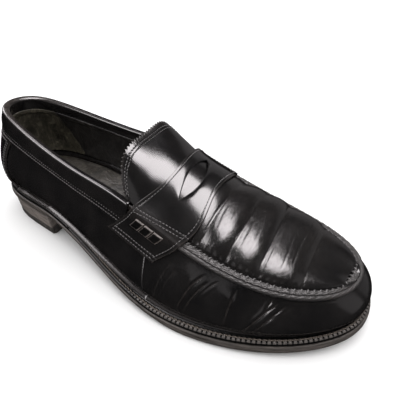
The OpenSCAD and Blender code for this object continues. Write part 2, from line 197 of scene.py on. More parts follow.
def cap(u, q):
    """Apron and tongue: q runs from -1, lateral, to 1, medial."""
    u, q = np.broadcast_arrays(np.asarray(u, float), np.asarray(q, float))
    a, b = curve(TOP, u), curve(TOP, STATIONS - u)
    half = np.linalg.norm(b - a, axis=-1) / 2
    x = (a + b)[..., 0] / 2
    rise = np.interp(x, SOFT_CROWN[:, 0], SOFT_CROWN[:, 1]) * half**2
    shoulder = np.interp(x, SOFT_SHOULDER[:, 0], SOFT_SHOULDER[:, 1])
    p = a * ((1 - q) / 2)[..., None] + b * ((1 + q) / 2)[..., None]
    p[..., 2] += (rise + 4 * shoulder * q * q) * (1 - q * q)
    return p


def across(u, s):
    """Whole upper across the shoe: |s| below 1 is the apron and above 1 the wall."""
    u, s = np.broadcast_arrays(np.asarray(u, float), np.asarray(s, float))
    side = np.where(s < 0, u, STATIONS - u)
    on_wall = wall(side, np.clip(2 - np.abs(s), 0, 1))
    return np.where((np.abs(s) <= 1)[..., None], cap(u, np.clip(s, -1, 1)), on_wall)


def normal(surface, a, b, e=0.02):
    return unit(np.cross(surface(a + e, b) - surface(a - e, b),
                         surface(a, b + e) - surface(a, b - e)))


def off(surface, a, b, d):
    """Point of a surface moved outwards by d mm."""
    a, b = np.broadcast_arrays(np.asarray(a, float), np.asarray(b, float))
    return surface(a, b) + normal(surface, a, b) * np.asarray(d)[..., None]


def lengths(points):
    """Distance along a line of points to each of them."""
    return np.concatenate([[0], np.cumsum(np.linalg.norm(np.diff(points, axis=0), axis=1))])


def mesh_grid(us, vs):
    return np.meshgrid(np.asarray(us, float), np.asarray(vs, float), indexing="ij")


outline = curve(SOLE, np.linspace(0, STATIONS, 400))
sole_low, sole_high = (np.array(c) * 1000 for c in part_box("outsole"))
SHIFT = np.array([*((sole_low + sole_high)[:2] - outline.min(0) - outline.max(0)) / 2, 0])


# ---------------------------------------------------------------- meshes
def add_mesh(name, points, faces, material, **attributes):
    """A smooth-shaded mesh from points in mm; attributes are one number a point."""
    mesh = bpy.data.meshes.new(name)
    points = (np.asarray(points).reshape(-1, 3) + SHIFT) / 1000
    mesh.from_pydata(points.tolist(), [], [list(map(int, f)) for f in faces])
    mesh.polygons.foreach_set("use_smooth", [True] * len(mesh.polygons))
    for key, values in attributes.items():
        layer = mesh.attributes.new(key, "FLOAT", "POINT")
        layer.data.foreach_set("value", np.asarray(values, np.float32).ravel())
    mesh.materials.append(material)
    mesh.validate()
    obj = bpy.data.objects.new(name, mesh)
    bpy.context.scene.collection.objects.link(obj)
    return obj


def place(obj, replaced=(), body="root"):
    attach(obj, body)
    if replaced:
        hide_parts(*replaced)
    return obj


def grid_quads(n, m, start=0, ring=False):
    i, j = np.meshgrid(np.arange(n if ring else n - 1), np.arange(m - 1), indexing="ij")
    i2 = (i + 1) % n
    quads = np.stack([i * m + j, i2 * m + j, i2 * m + j + 1, i * m + j + 1], -1)
    return quads.reshape(-1, 4) + start


def rim_edges(quads, count):
    """Start and end points of the edges that belong to one face only."""
    a = quads.ravel()
    b = np.roll(quads, -1, axis=1).ravel()
    open_edge = ~np.isin(a * count + b, b * count + a)
    return a[open_edge], b[open_edge]


def sheet_solid(name, outer, inner, quads, material, roundness=1.0, **attributes):
    """A closed sheet of leather: outer and inner points, joined round every edge by a rounded rim."""
    outer, inner = outer.reshape(-1, 3), inner.reshape(-1, 3)
    count = len(outer)
    a, b = rim_edges(quads, count)
    across_sheet = outer - inner
    along = unit(outer[b] - outer[a])
    outward = np.zeros_like(outer)
    side = np.cross(along, unit(across_sheet[a]))
    np.add.at(outward, a, side)
    np.add.at(outward, b, side)
    outward = unit(outward)
    edge = np.unique(a)
    index = np.full(count, -1)
    index[edge] = np.arange(len(edge))
    half = across_sheet[edge] / 2
    thick = np.linalg.norm(half, axis=-1, keepdims=True)
    rings = [outer[edge] - half + half * math.cos(angle)
             + outward[edge] * thick * roundness * math.sin(angle)
             for angle in np.radians([45, 90, 135])]
    start, end = ([corner, *(2 * count + k * len(edge) + index[corner] for k in range(3)), corner + count]
                  for corner in (a, b))
    rim = [np.stack([end[k], start[k], start[k + 1], end[k + 1]], -1) for k in range(4)]
    extra = {key: np.concatenate([v.ravel(), v.ravel(), *[v.ravel()[edge]] * 3])
             for key, v in attributes.items()}
    faces = np.concatenate([quads, quads[:, ::-1] + count, *rim])
    return add_mesh(name, np.concatenate([outer, inner, *rings]), faces, material, **extra)


def grid_sheet(name, point, us, vs, top, bottom, material, roundness=1.0, **attributes):
    """A sheet over a grid: point(u, v, d) gives a place at depth d; top and bottom are depths."""
    u, v = mesh_grid(us, vs)
    quads = grid_quads(*u.shape)
    given = {k: f(u, v) for k, f in attributes.items()}
    return sheet_solid(name, point(u, v, top), point(u, v, bottom), quads, material, roundness, **given)


def tube_faces(n, m):
    """Faces of a tube of n rings of m points, with one face over each end."""
    i, j = np.meshgrid(np.arange(n - 1), np.arange(m), indexing="ij")
    j2 = (j + 1) % m
    quads = np.stack([i * m + j, i * m + j2, (i + 1) * m + j2, (i + 1) * m + j], -1)
    return [*quads.reshape(-1, 4).tolist(), list(range(m))[::-1], list(range((n - 1) * m, n * m))]


def stitches(name, starts, ends, normals, radius, material, sunk=0.25, sides=8):
    """Separate stitches from starts to ends, each a rounded length of thread that dips at its ends."""
    t = np.array([0, 0.07, 0.22, 0.5, 0.78, 0.93, 1])
    size = np.array([0.3, 0.75, 1, 1, 1, 0.75, 0.3])
    axis = unit(ends - starts)
    side = unit(np.cross(axis, normals))
    up = np.cross(side, axis)
    angle = np.arange(sides) * 2 * math.pi / sides
    centre = starts[:, None] + (ends - starts)[:, None] * t[None, :, None]
    centre = centre + up[:, None] * (radius * (np.sin(t * math.pi) - sunk))[None, :, None]
    ring = side[:, None] * np.cos(angle)[None, :, None] + up[:, None] * np.sin(angle)[None, :, None]
    points = centre[:, :, None] + ring[:, None] * (size * radius)[None, :, None, None]
    one = tube_faces(len(t), sides)
    faces = [[k + s * len(t) * sides for k in f[::-1]] for s in range(len(starts)) for f in one]
    return add_mesh(name, points, faces, material)


def sampled(at, length, values):
    return np.stack([np.interp(at, length, values[:, k]) for k in range(3)], -1)


def row_of_stitches(path, normals, pitch, fill=0.72):
    """Start, end and normal of each stitch of one row along a fine polyline."""
    length = lengths(path)
    count = max(1, int(length[-1] / pitch))
    begin = (np.arange(count) + (1 - fill) / 2) * length[-1] / count
    finish = begin + fill * length[-1] / count
    middle = unit(sampled((begin + finish) / 2, length, normals))
    return sampled(begin, length, path), sampled(finish, length, path), middle


def joined(rows):
    return [np.concatenate(part) for part in zip(*rows)]


def place_rows(name, rows, radius, node):
    """All rows of stitches of one seam as one piece."""
    return place(stitches(name, *joined(rows), radius, THREAD), [node])


def path_on(surface, a, b, d):
    """A polyline on a surface and its normals, for a row of stitches."""
    a, b = np.broadcast_arrays(np.asarray(a, float), np.asarray(b, float))
    n = normal(surface, a, b)
    return surface(a, b) + n * np.asarray(d)[..., None], n


def shifted_wall(u, v):
    """The wall with its flared foot, without its creases."""
    return flared_wall(u, v, 0.0)


def filling(stacked, ring, cells, first):
    """Rows of points across a closed ring of points: numbers of the rows, and the points made."""
    rows, made = [[ring[0]]], []
    half = len(ring) // 2
    for k in range(1, half):
        a, b = ring[k], ring[-k]
        inner = []
        for f in np.arange(1, cells) / cells:
            p = stacked[a] * (1 - f) + stacked[b] * f
            p[2] = underside(p[0]) + stacked[a][2] - underside(stacked[a][0])
            inner.append(first + len(made))
            made.append(p)
        rows.append([a, *inner, b])
    return rows + [[ring[half]]], made


def faces_between(r0, r1):
    if len(r0) == 1:
        return [(r0[0], r1[c], r1[c + 1]) for c in range(len(r1) - 1)]
    if len(r1) == 1:
        return [(r0[c], r1[0], r0[c + 1]) for c in range(len(r0) - 1)]
    return [(r0[c], r1[c], r1[c + 1], r0[c + 1]) for c in range(len(r0) - 1)]


def loops_solid(name, loops, material, cells=14):
    """A plate from closed loops, listed from the middle of the top, over the edge, to the bottom.

    The first and the last loop are filled by strips from the lateral to the medial side."""
    n, count = len(loops[0]), len(loops)
    stacked = np.stack(loops, 1).reshape(-1, 3)
    faces = list(grid_quads(n, count, ring=True)[:, ::-1])
    extra = []
    for level in (0, count - 1):
        ring = [k * count + level for k in range(n)]
        rows, made = filling(stacked, ring, cells, len(stacked) + len(extra))
        extra += made
        for r0, r1 in zip(rows, rows[1:]):
            faces += [f[::-1] if level else f for f in faces_between(r0, r1)]
    return add_mesh(name, np.concatenate([stacked, np.array(extra)]), faces, material)


# ---------------------------------------------------------------- materials
def new_material(name):
    material = bpy.data.materials.new(name)
    material.use_nodes = True
    tree = material.node_tree
    return material, tree, tree.nodes["Principled BSDF"]


def add_node(tree, kind, values=(), **settings):
    """A node; values maps socket names or numbers to constants or to other nodes' outputs."""
    made = tree.nodes.new(kind)
    for key, value in settings.items():
        setattr(made, key, value)
    for key, value in dict(values).items():
        socket = made.inputs[key]
        if isinstance(value, bpy.types.NodeSocket):
            tree.links.new(value, socket)
        else:
            socket.default_value = value
    return made


def place_coords(tree, scale=(1, 1, 1)):
    where = tree.nodes.new("ShaderNodeTexCoord").outputs["Object"]
    return add_node(tree, "ShaderNodeMapping", {"Vector": where, "Scale": scale}).outputs[0]


def noise(tree, scale, detail=4, rough=0.55, stretch=(1, 1, 1), distort=0.0):
    return add_node(tree, "ShaderNodeTexNoise", {
        "Vector": place_coords(tree, stretch), "Scale": scale, "Detail": detail,
        "Roughness": rough, "Distortion": distort}).outputs["Fac"]


def attribute(tree, name):
    return add_node(tree, "ShaderNodeAttribute", attribute_name=name).outputs["Fac"]


def maths(tree, operation, a, b):
    return add_node(tree, "ShaderNodeMath", {0: a, 1: b}, operation=operation).outputs[0]


def ramp_colour(tree, fac, *stops):
    made = add_node(tree, "ShaderNodeValToRGB", {"Fac": fac})
    elements = made.color_ramp.elements
    while len(elements) < len(stops):
        elements.new(0.5)
    for element, (position, colour) in zip(elements, stops):
        element.position = position
        element.color = (*colour, 1) if len(colour) == 3 else colour
    return made.outputs["Color"]


def grey(value):
    return (value, value, value)


def dressed(look, colour, rough, *layers):
    """Links colour, roughness and chained bump layers, each (height socket, distance in mm, strength)."""
    material, tree, shader = look
    tree.links.new(colour, shader.inputs["Base Color"])
    tree.links.new(rough, shader.inputs["Roughness"])
    last = None
    for height, distance, strength in layers:
        values = {"Height": height, "Distance": distance / 1000, "Strength": strength}
        if last is not None:
            values["Normal"] = last
        last = add_node(tree, "ShaderNodeBump", values).outputs[0]
    tree.links.new(last, shader.inputs["Normal"])
    return material


def shine(tree, fac, low, high, first=0.3, last=0.7):
    """A roughness, or any other amount, between two values."""
    return ramp_colour(tree, fac, (first, grey(low)), (last, grey(high)))


def waves(tree, direction, scale, distortion, detail=2.0, stretch=(1, 1, 1)):
    return add_node(tree, "ShaderNodeTexWave", {
        "Vector": place_coords(tree, stretch), "Scale": scale, "Distortion": distortion,
        "Detail": detail}, bands_direction=direction).outputs["Fac"]


def mixed(tree, factor, first, second):
    values = {"Factor": factor, 6: first, 7: (*second, 1)}
    return add_node(tree, "ShaderNodeMix", values, data_type="RGBA").outputs[2]


def calf(name, dark=0.005, light=0.011, rough=(0.14, 0.23), grain=0.05, stripes=0.0, dust_and_sheen=1.0):
    """Polished black calf: fine pores, faint marks, creased places, and a lighter tint from an attribute
    that holds real scuffing and, on the wall's lip and the woven squares' edges, a painted highlight.
    """
    look = new_material(name)
    tree, shader = look[1:]
    pores = add_node(tree, "ShaderNodeTexVoronoi", {
        "Vector": place_coords(tree), "Scale": 1100.0}, feature="F1").outputs["Distance"]
    wear = attribute(tree, "wear")
    base = ramp_colour(tree, noise(tree, 60, 6, 0.6), (0.3, (dark, dark * 0.95, dark)),
                       (0.75, (light, light * 0.9, light * 0.88)))
    patches = shine(tree, noise(tree, 300, 6, 0.7), 0.25, 1, 0.35)
    # Lighter tint from the per-point attribute: real scuffing on most pieces, and a painted highlight on
    # the wall's lip and the woven squares' edges.
    lightened = maths(tree, "MULTIPLY", wear, patches)
    colour = mixed(tree, lightened, base, (0.075 * dust_and_sheen, 0.062 * dust_and_sheen, 0.056 * dust_and_sheen))
    polish = shine(tree, noise(tree, 35, 5, 0.6), *rough, last=0.75)
    polish = maths(tree, "ADD", polish, maths(tree, "MULTIPLY", wear, 0.18))
    shader.inputs["Specular IOR Level"].default_value = 0.5
    shader.inputs["Coat Weight"].default_value = 0.1
    shader.inputs["Coat Roughness"].default_value = 0.12
    wrinkles = noise(tree, 420, 5, 0.65, (1, 0.45, 0.45), 0.6)
    creased = maths(tree, "MULTIPLY", wrinkles, attribute(tree, "flex"))
    layers = [(pores, 0.04, grain * 2), (noise(tree, 900, 3, 0.5), 0.04, grain * 3), (creased, 0.35, 0.6)]
    if stripes:
        layers.append((waves(tree, "Y", 320.0, 3.0, 3.0), 0.12, stripes))
    return dressed(look, colour, polish, *layers)


def worn_lining(name, dark, light, gloss=0.4):
    """Lining leather made shiny by the foot, with creases and lighter scuffs."""
    look = new_material(name)
    tree = look[1]
    cloud = noise(tree, 28, 8, 0.68, distort=0.8)
    away = maths(tree, "ABSOLUTE", maths(tree, "SUBTRACT", noise(tree, 45, 4, 0.6, distort=1.2), 0.5), 0)
    veins = shine(tree, away, 1, 0, 0.0, 0.035)
    scuffs = shine(tree, noise(tree, 150, 8, 0.75, (1, 1, 0.5), 1.5), 0, 1, 0.5, 0.68)
    base = ramp_colour(tree, cloud, (0.36, dark), (0.68, light))
    marks = maths(tree, "MAXIMUM", maths(tree, "MULTIPLY", scuffs, 0.6),
                  maths(tree, "MULTIPLY", veins, 0.1))
    colour = mixed(tree, marks, base, [min(1, c * 2.6 + 0.02) for c in light])
    rough = shine(tree, noise(tree, 70, 5, 0.6), gloss, gloss + 0.25, 0.35)
    return dressed(look, colour, rough, (noise(tree, 700, 4, 0.6), 0.25, 0.25), (cloud, 2.5, 0.35),
                   (veins, 0.35, 0.5), (noise(tree, 160, 6, 0.7, (1, 1, 0.5), 1.5), 0.9, 0.5))


def edge_leather(name, dark, light, layers_per_mm=0.0, rough=0.45):
    """Cut and waxed leather edge: streaks that run along the edge, and pressed layers."""
    look = new_material(name)
    tree, shader = look[1:]
    streaks = noise(tree, 60, 6, 0.7, (1, 1, 14))
    polish = shine(tree, noise(tree, 90, 4, 0.6), rough - 0.1, rough + 0.15, last=0.75)
    shader.inputs["Specular IOR Level"].default_value = 0.4
    layers = [(streaks, 0.3, 0.5), (noise(tree, 900, 4, 0.6), 0.15, 0.3)]
    if layers_per_mm:
        layers.append((waves(tree, "Z", 159.0 * layers_per_mm, 1.0), 0.25, 0.35))
    return dressed(look, ramp_colour(tree, streaks, (0.32, dark), (0.7, light)), polish, *layers)


def ribbed_leather(name, dark, light):
    """Edge leather whose raised marks are painted lighter than the gaps between them: a painted highlight
    on the ribs and painted shade in the gaps.
    """
    look = new_material(name)
    tree = look[1]
    grain = noise(tree, 500, 6, 0.7)
    # Painted highlight on the raised ribs, and painted shade in the gaps between them.
    rib_highlight = maths(tree, "MULTIPLY", attribute(tree, "raised"), maths(tree, "ADD", grain, 0.35))
    colour = ramp_colour(tree, rib_highlight, (0.25, dark), (0.95, light))
    return dressed(look, colour, shine(tree, grain, 0.3, 0.5), (grain, 0.3, 0.6))


def thread_material(name, dark, light):
    """Waxed thread with the twist of its plies."""
    look = new_material(name)
    tree = look[1]
    plies = waves(tree, "DIAGONAL", 420.0, 1.5, stretch=(1, 1, 1.6))
    colour = ramp_colour(tree, plies, (0.2, dark), (0.8, light))
    return dressed(look, colour, shine(tree, noise(tree, 200, 3), 0.28, 0.45), (plies, 0.15, 0.5))


def plain_procedural(name, dark, light, scale, rough, depth, metallic=0.0):
    """Cork, board, foam, rubber and steel: a two-tone grain with its own bump."""
    look = new_material(name)
    tree, shader = look[1:]
    grain = noise(tree, scale, 6, 0.65)
    shader.inputs["Metallic"].default_value = metallic
    colour = ramp_colour(tree, grain, (0.35, dark), (0.68, light))
    return dressed(look, colour, shine(tree, grain, rough, min(1, rough + 0.15)), (grain, depth, 0.5))


BLACK = calf("polished_black_calf")
APRON_CALF = calf("apron_calf", dark=0.005, light=0.012, rough=(0.16, 0.24), grain=0.12)
SEAM_CALF = calf("seam_calf", dark=0.012, light=0.03, rough=(0.36, 0.55), grain=1.2, stripes=0.6)
TONGUE_CALF = calf("tongue_calf", rough=(0.12, 0.19), stripes=0.12)
COLLAR_CALF = calf("collar_calf", rough=(0.13, 0.2))
# The strong tint factor brightens the painted highlight on the woven squares' edges.
LACE_CALF = calf("woven_strip_calf", dark=0.003, light=0.006, rough=(0.18, 0.3), dust_and_sheen=2.2)
OLIVE = worn_lining("heel_lining_leather", (0.016, 0.014, 0.01), (0.09, 0.08, 0.056))
DARK_LINING = worn_lining("dark_lining_leather", (0.008, 0.007, 0.007), (0.02, 0.018, 0.016), 0.35)
SOCK = worn_lining("sock_leather", (0.007, 0.006, 0.005), (0.045, 0.039, 0.03), 0.28)
SOLE_EDGE = edge_leather("outsole_edge", (0.022, 0.019, 0.017), (0.1, 0.085, 0.076), 0.55)
WELT_RIBS = ribbed_leather("welt_ribs", (0.004, 0.004, 0.004), (0.1, 0.088, 0.08))
STACK = edge_leather("stacked_heel", (0.08, 0.07, 0.064), (0.24, 0.205, 0.185), 0.8, 0.4)
RUBBER = plain_procedural("heel_rubber", (0.03, 0.027, 0.024), (0.08, 0.07, 0.062), 400, 0.55, 0.2)
THREAD = thread_material("black_waxed_thread", (0.03, 0.028, 0.028), (0.15, 0.14, 0.14))
WELT_THREAD = thread_material("welt_thread", (0.05, 0.04, 0.033), (0.22, 0.18, 0.15))
CORK = plain_procedural("cork", (0.16, 0.09, 0.045), (0.45, 0.3, 0.17), 350, 0.7, 0.5)
BOARD = plain_procedural("fibreboard", (0.3, 0.24, 0.17), (0.5, 0.42, 0.32), 500, 0.7, 0.2)
FOAM = plain_procedural("foam", (0.6, 0.56, 0.45), (0.8, 0.77, 0.68), 900, 0.8, 0.3)
STEEL = plain_procedural("steel", (0.35, 0.35, 0.36), (0.6, 0.6, 0.62), 300, 0.3, 0.05, 1.0)
TAPE = plain_procedural("tape", (0.6, 0.58, 0.52), (0.8, 0.78, 0.72), 1200, 0.8, 0.1)


# ---------------------------------------------------------------- camera, floor, light
def make_camera():
    """The camera looks at the shoe from its lateral front, slightly rolled."""
    aim = np.array([19.4, 22.1, 35.9])
    azimuth, elevation, roll, distance = map(float, (-55.78, 34.65, -1.17, 294.5))
    a, e = math.radians(azimuth), math.radians(elevation)
    back = np.array([math.cos(e) * math.cos(a), math.cos(e) * math.sin(a), math.sin(e)])
    camera = bpy.data.objects.new("camera", bpy.data.cameras.new("camera"))
    bpy.context.scene.collection.objects.link(camera)
    camera.data.sensor_width, camera.data.lens = 36, 36
    camera.data.clip_start = 0.01
    turn = Vector(-back).to_track_quat("-Z", "Y").to_matrix().to_4x4()
    place_at = Vector((aim + back * distance + SHIFT) / 1000)
    camera.matrix_world = Matrix.Translation(place_at) @ turn @ Matrix.Rotation(math.radians(roll), 4, "Z")
    bpy.context.scene.camera = camera


def make_floor():
    material, tree, shader = new_material("studio_floor")
    tint = ramp_colour(tree, noise(tree, 3, 2), (0.3, grey(0.86)), (0.7, grey(0.88)))
    tree.links.new(tint, shader.inputs["Base Color"])
    shader.inputs["Roughness"].default_value = 0.9
    shader.inputs["Specular IOR Level"].default_value = 0.1
    mesh = bpy.data.meshes.new("floor")
    r = 6
    z = cad_low.z - 0.0004
    mesh.from_pydata([(-r, -r, z), (r, -r, z), (r, r, z), (-r, r, z)], [], [(0, 1, 2, 3)])
    mesh.materials.append(material)
    floor = bpy.data.objects.new("floor", mesh)
    bpy.context.scene.collection.objects.link(floor)
    floor.visible_glossy = False


def area_light(name, towards, distance, width, height, radiance, shows="glossy"):
    """A flat soft box in a direction from the shoe; shows says what kind of light it gives."""
    data = bpy.data.lights.new(name, "AREA")
    data.shape, data.size, data.size_y = "RECTANGLE", width, height
    data.energy = radiance * math.pi * width * height
    data.color = (1, 1, 1) if shows == "diffuse" else (1, 0.95, 0.965)
    light = bpy.data.objects.new(name, data)
    bpy.context.scene.collection.objects.link(light)
    d = Vector(towards).normalized()
    light.location = Vector((0, 0, 0.05)) + d * distance
    light.rotation_mode = "QUATERNION"
    light.rotation_quaternion = (-d).to_track_quat("-Z", "Y")
    light.visible_glossy = shows == "glossy"
    light.visible_diffuse = shows == "diffuse"
    light.visible_camera = False


def make_light():
    """Even white light for the floor and the leather's own colour, and soft boxes for the shine."""
    world = bpy.data.worlds.new("studio")
    bpy.context.scene.world = world
    world.use_nodes = True
    background = world.node_tree.nodes["Background"]
    background.inputs["Color"].default_value = (1.0, 0.99, 0.99, 1)
    background.inputs["Strength"].default_value = 1.0
    world.cycles_visibility.glossy = False
    area_light("overhead_fill", (0.1, 0.2, 1), 2.2, 3.0, 3.0, 1.9, "diffuse")
    area_light("key_box", (0.12, 0.27, 0.95), 0.95, 0.54, 0.54, 16)
    area_light("medial_panel", (0.1, 1, 0.12), 1.6, 3.2, 0.9, 0.22)
    area_light("toe_panel", (1, 0.35, 0.4), 1.6, 0.7, 1.2, 0.4)
    area_light("edge_light", (-0.6, 0.1, 0.76), 1.2, 0.7, 0.14, 7)
    area_light("lip_light", (-0.5, -0.33, 0.8), 1.2, 0.6, 0.36, 10)
    area_light("heel_lip_light", (-0.84, 0.04, 0.53), 1.2, 0.4, 0.36, 9)
    area_light("lateral_panel", (-0.3, -0.78, 0.5), 1.8, 2.0, 0.8, 0.5)
    area_light("heel_panel", (-1, 0.1, 0.35), 1.8, 0.8, 0.7, 0.5)
    bpy.context.scene.view_settings.view_transform = "Standard"


# ---------------------------------------------------------------- sole and heel
def sole_loop(inset, height, count=640):
    u = np.arange(count) * STATIONS / count
    return lift(sole_at(u, np.broadcast_to(np.asarray(inset, float), u.shape)), height)


def make_outsole():
    profile = [(6, OUTSOLE_T), (1.2, OUTSOLE_T), (0.45, OUTSOLE_T - 0.12), (0.1, OUTSOLE_T - 0.5),
               (0.05, 3.9), (0.35, 3.62), (0.38, 3.4), (0.02, 3.1), (-0.05, 2.4), (0.0, 1.7),
               (0.32, 1.5), (0.34, 1.3), (0.05, 1.05), (0.25, 0.35), (0.8, 0.05), (1.6, 0), (7, 0)]
    u = np.arange(640) * STATIONS / 640
    side = from_heel(u)
    waist = ramp(side, 3.2, 3.7) * ramp(-side, -6.6, -5.0)
    loops = []
    for inset, h in profile:
        bevel = waist * 5 * ramp(-h, -3.2, 0) * (inset < 5)
        loops.append(sole_loop(inset + bevel, h))
    place(loops_solid("outsole_leather", loops, SOLE_EDGE), ["outsole"])


WELT_U = 4.0
WELT_PITCH = 2.9       # spacing of the wheel marks on the welt
STATION_LENGTH = 36    # mm of edge to one station


def strip_round_edge(name, u0, u1, profile, ribs, steps):
    """A strip along the sole's edge with a closed section; ribs raises some section points in waves."""
    us = np.linspace(u0, u1, steps)
    phase = lengths(curve(SOLE, us)) / WELT_PITCH % 1
    block = ramp(phase, 0.0, 0.16) * ramp(-phase, -0.86, -0.7)
    block *= ramp(from_heel(us), WELT_U + 1.2, WELT_U + 2.2)
    rings, raised = [], []
    for inset, h, amount in profile:
        p = lift(sole_at(us, np.full(steps, float(inset))), 0)
        p[:, 2] += h + (block * amount if ribs else 0)
        rings.append(p)
        # Mask of the raised rib points, which the welt's material paints lighter as a painted highlight.
        raised.append(block * (amount > 0.15))
    points = np.stack(rings, 1)
    return add_mesh(name, points, tube_faces(*points.shape[:2]), WELT_RIBS, raised=np.stack(raised, 1))


def make_welt():
    base = OUTSOLE_T + GAP
    top = SOLE_TOP - 0.75
    profile = [(13, base, 0), (13, SOLE_TOP, 0), (6.0, SOLE_TOP, 0), (5.0, SOLE_TOP - 0.3, 0),
               (4.4, top, 0), (3.9, top, 0.05), (3.6, top, 0.75), (3.0, top, 0.95), (2.2, top, 1.0),
               (1.5, top, 0.9), (1.05, top - 0.1, 0.75), (0.8, top - 0.25, 0.3), (0.75, top - 0.5, 0.1),
               (1.3, top - 0.9, 0), (1.9, top - 1.1, 0), (1.9, base + 0.3, 0), (1.2, base, 0)]
    welt = strip_round_edge("welt_strip", WELT_U, STATIONS - WELT_U, profile, True, 3600)
    place(welt, ["welt"])
    rand_profile = [(13, base, 0), (13, SOLE_TOP, 0), (3.0, SOLE_TOP, 0), (1.6, SOLE_TOP - 0.1, 0),
                    (1.0, SOLE_TOP - 0.5, 0), (0.8, SOLE_TOP - 1.2, 0), (0.7, base + 0.9, 0),
                    (1.0, base + 0.3, 0), (1.6, base, 0)]
    rand = strip_round_edge("heel_seat_rand", -WELT_U + 0.02, WELT_U - 0.02, rand_profile, False, 300)
    place(rand, ["heel_rand"])


def make_welt_stitches():
    """One stitch in the gap after each wheel mark."""
    us = np.linspace(WELT_U, STATIONS - WELT_U, 1700)
    length = lengths(curve(SOLE, us))
    count = int(length[-1] / WELT_PITCH) - 2
    at = np.interp((np.arange(count) + 0.75) * WELT_PITCH, length, us)
    step = WELT_PITCH * 0.42 / STATION_LENGTH
    a = lift(sole_at(at - step, np.full(count, 2.9)), SOLE_TOP + 0.18)
    b = lift(sole_at(at + step, np.full(count, 2.3)), SOLE_TOP + 0.18)
    up = np.tile([0.0, 0.0, 1.0], (count, 1))
    thread = stitches("welt_stitches", a, b, up, 0.3, WELT_THREAD, sunk=0.4)
    place(thread, ["welt_stitching"])


HEEL_U = 3.25


def heel_loop(inset, z):
    us = np.linspace(-HEEL_U, HEEL_U, 170)
    arc = sole_at(us, np.full(us.shape, float(inset)))
    t = np.linspace(0, 1, 60)[1:-1, None]
    breast = arc[-1] * (1 - t) + arc[0] * t
    breast[:, 0] -= (16 * t * (1 - t))[:, 0] - max(0, inset - 2)
    p = np.concatenate([arc, breast])
    return np.column_stack([p, np.full(len(p), z)])


def heel_block(name, inset, z0, z1, material, groove=0.22):
    """One layer of the heel, with softened edges."""
    loops = [heel_loop(inset + groove * 1.6, z1), heel_loop(inset + groove * 0.5, z1 - 0.1),
             heel_loop(inset, z1 - 0.4), heel_loop(inset, (z0 + z1) / 2), heel_loop(inset, z0 + 0.4),
             heel_loop(inset + groove * 0.5, z0 + 0.1), heel_loop(inset + groove * 1.6, z0)]
    points = np.stack(loops, 1)
    n, m = points.shape[:2]
    faces = list(grid_quads(n, m, ring=True)[:, ::-1])
    faces.append([k * m for k in range(n)])
    faces.append([k * m + m - 1 for k in range(n)][::-1])
    return add_mesh(name, points, faces, material)


def make_heel():
    layer = (HEEL_H - TOP_PIECE_T - 3 * GAP) / 3
    place(heel_block("rubber_top_piece", 2.6, 0, TOP_PIECE_T, RUBBER, 0.5), ["top_piece"])
    for index, inset in enumerate((2.2, 1.8, 1.4)):
        z = TOP_PIECE_T + GAP + index * (layer + GAP)
        top = z + layer - (GAP if index == 2 else 0)
        lift_piece = heel_block(f"stacked_lift_{index + 1}", inset, z, top, STACK)
        place(lift_piece, [f"heel_lift_{index + 1}"])


# ---------------------------------------------------------------- upper
SU, SV = 38.0, 48.0    # mm to one station and to one wall height, near the flex of the foot

# Flex creases of the wall: (u, v) of both ends, bow, depth in mm, width in mm
WALL_CREASES = [
    (8.08, 0.84, 7.42, 0.06, 0.06, 0.9, 0.55), (8.2, 0.82, 7.55, 0.08, 0.06, 0.8, 0.5),
    (8.3, 0.8, 7.7, 0.35, 0.05, 0.4, 0.45), (8.0, 0.88, 7.8, 0.6, 0.02, 0.5, 0.5),
    (6.97, 0.84, 6.5, 0.14, 0.06, 0.8, 0.55), (7.06, 0.8, 6.62, 0.2, 0.05, 0.6, 0.5),
    (7.2, 0.86, 6.85, 0.5, 0.04, 0.4, 0.45),
    (7.46, 0.84, 7.2, 0.2, 0.03, 0.6, 0.55), (6.45, 0.8, 6.1, 0.15, 0.05, 0.25, 0.6),
    (6.5, 0.7, 6.25, 0.3, 0.04, 0.2, 0.6), (6.2, 0.55, 6.35, 0.45, 0.02, 0.15, 0.6),
    (6.15, 0.3, 6.12, 0.12, 0.02, 0.12, 0.6), (8.15, 0.86, 9.2, 0.87, -0.02, 0.25, 0.5),
    (12.05, 0.84, 12.7, 0.1, 0.05, 0.9, 0.55), (11.95, 0.84, 12.5, 0.1, 0.05, 0.7, 0.5),
    (13.0, 0.84, 13.5, 0.15, 0.05, 0.8, 0.55), (13.2, 0.82, 13.7, 0.25, 0.04, 0.5, 0.5),
    (12.6, 0.8, 12.9, 0.25, 0.03, 0.4, 0.5)]


def crease_field(x, y, x0, y0, x1, y1, bow, depth, width):
    """Depth of one curved crease with the small swell that runs beside it."""
    t = np.linspace(0, 1, 13)
    cx = x0 + (x1 - x0) * t + bow * (y1 - y0) * 4 * t * (1 - t)
    cy = y0 + (y1 - y0) * t - bow * (x1 - x0) * 4 * t * (1 - t)
    best = np.full(x.shape, 1e9)
    along = np.zeros(x.shape)
    for k, (ax, ay, bx, by) in enumerate(zip(cx, cy, cx[1:], cy[1:])):
        dx, dy = bx - ax, by - ay
        f = np.clip(((x - ax) * dx + (y - ay) * dy) / (dx * dx + dy * dy), 0, 1)
        d = np.hypot(x - ax - f * dx, y - ay - f * dy)
        nearer = d < best
        best = np.where(nearer, d, best)
        along = np.where(nearer, (k + f) / 12, along)
    fade = ramp(along, -0.05, 0.25) * ramp(-along, -1.05, -0.6)
    swell = 0.5 * bump(best, 2.6 * width, 1.8 * width)
    return fade * depth * (swell - bump(best, 0, width))


def wall_relief(u, v):
    """Height of the creases and soft swells of the wall, in mm."""
    x, y = u * SU, v * SV
    relief = np.zeros(u.shape)
    for u0, v0, u1, v1, bow, depth, width in WALL_CREASES:
        relief += crease_field(x, y, u0 * SU, v0 * SV, u1 * SU, v1 * SV, bow, depth, width)
    return relief


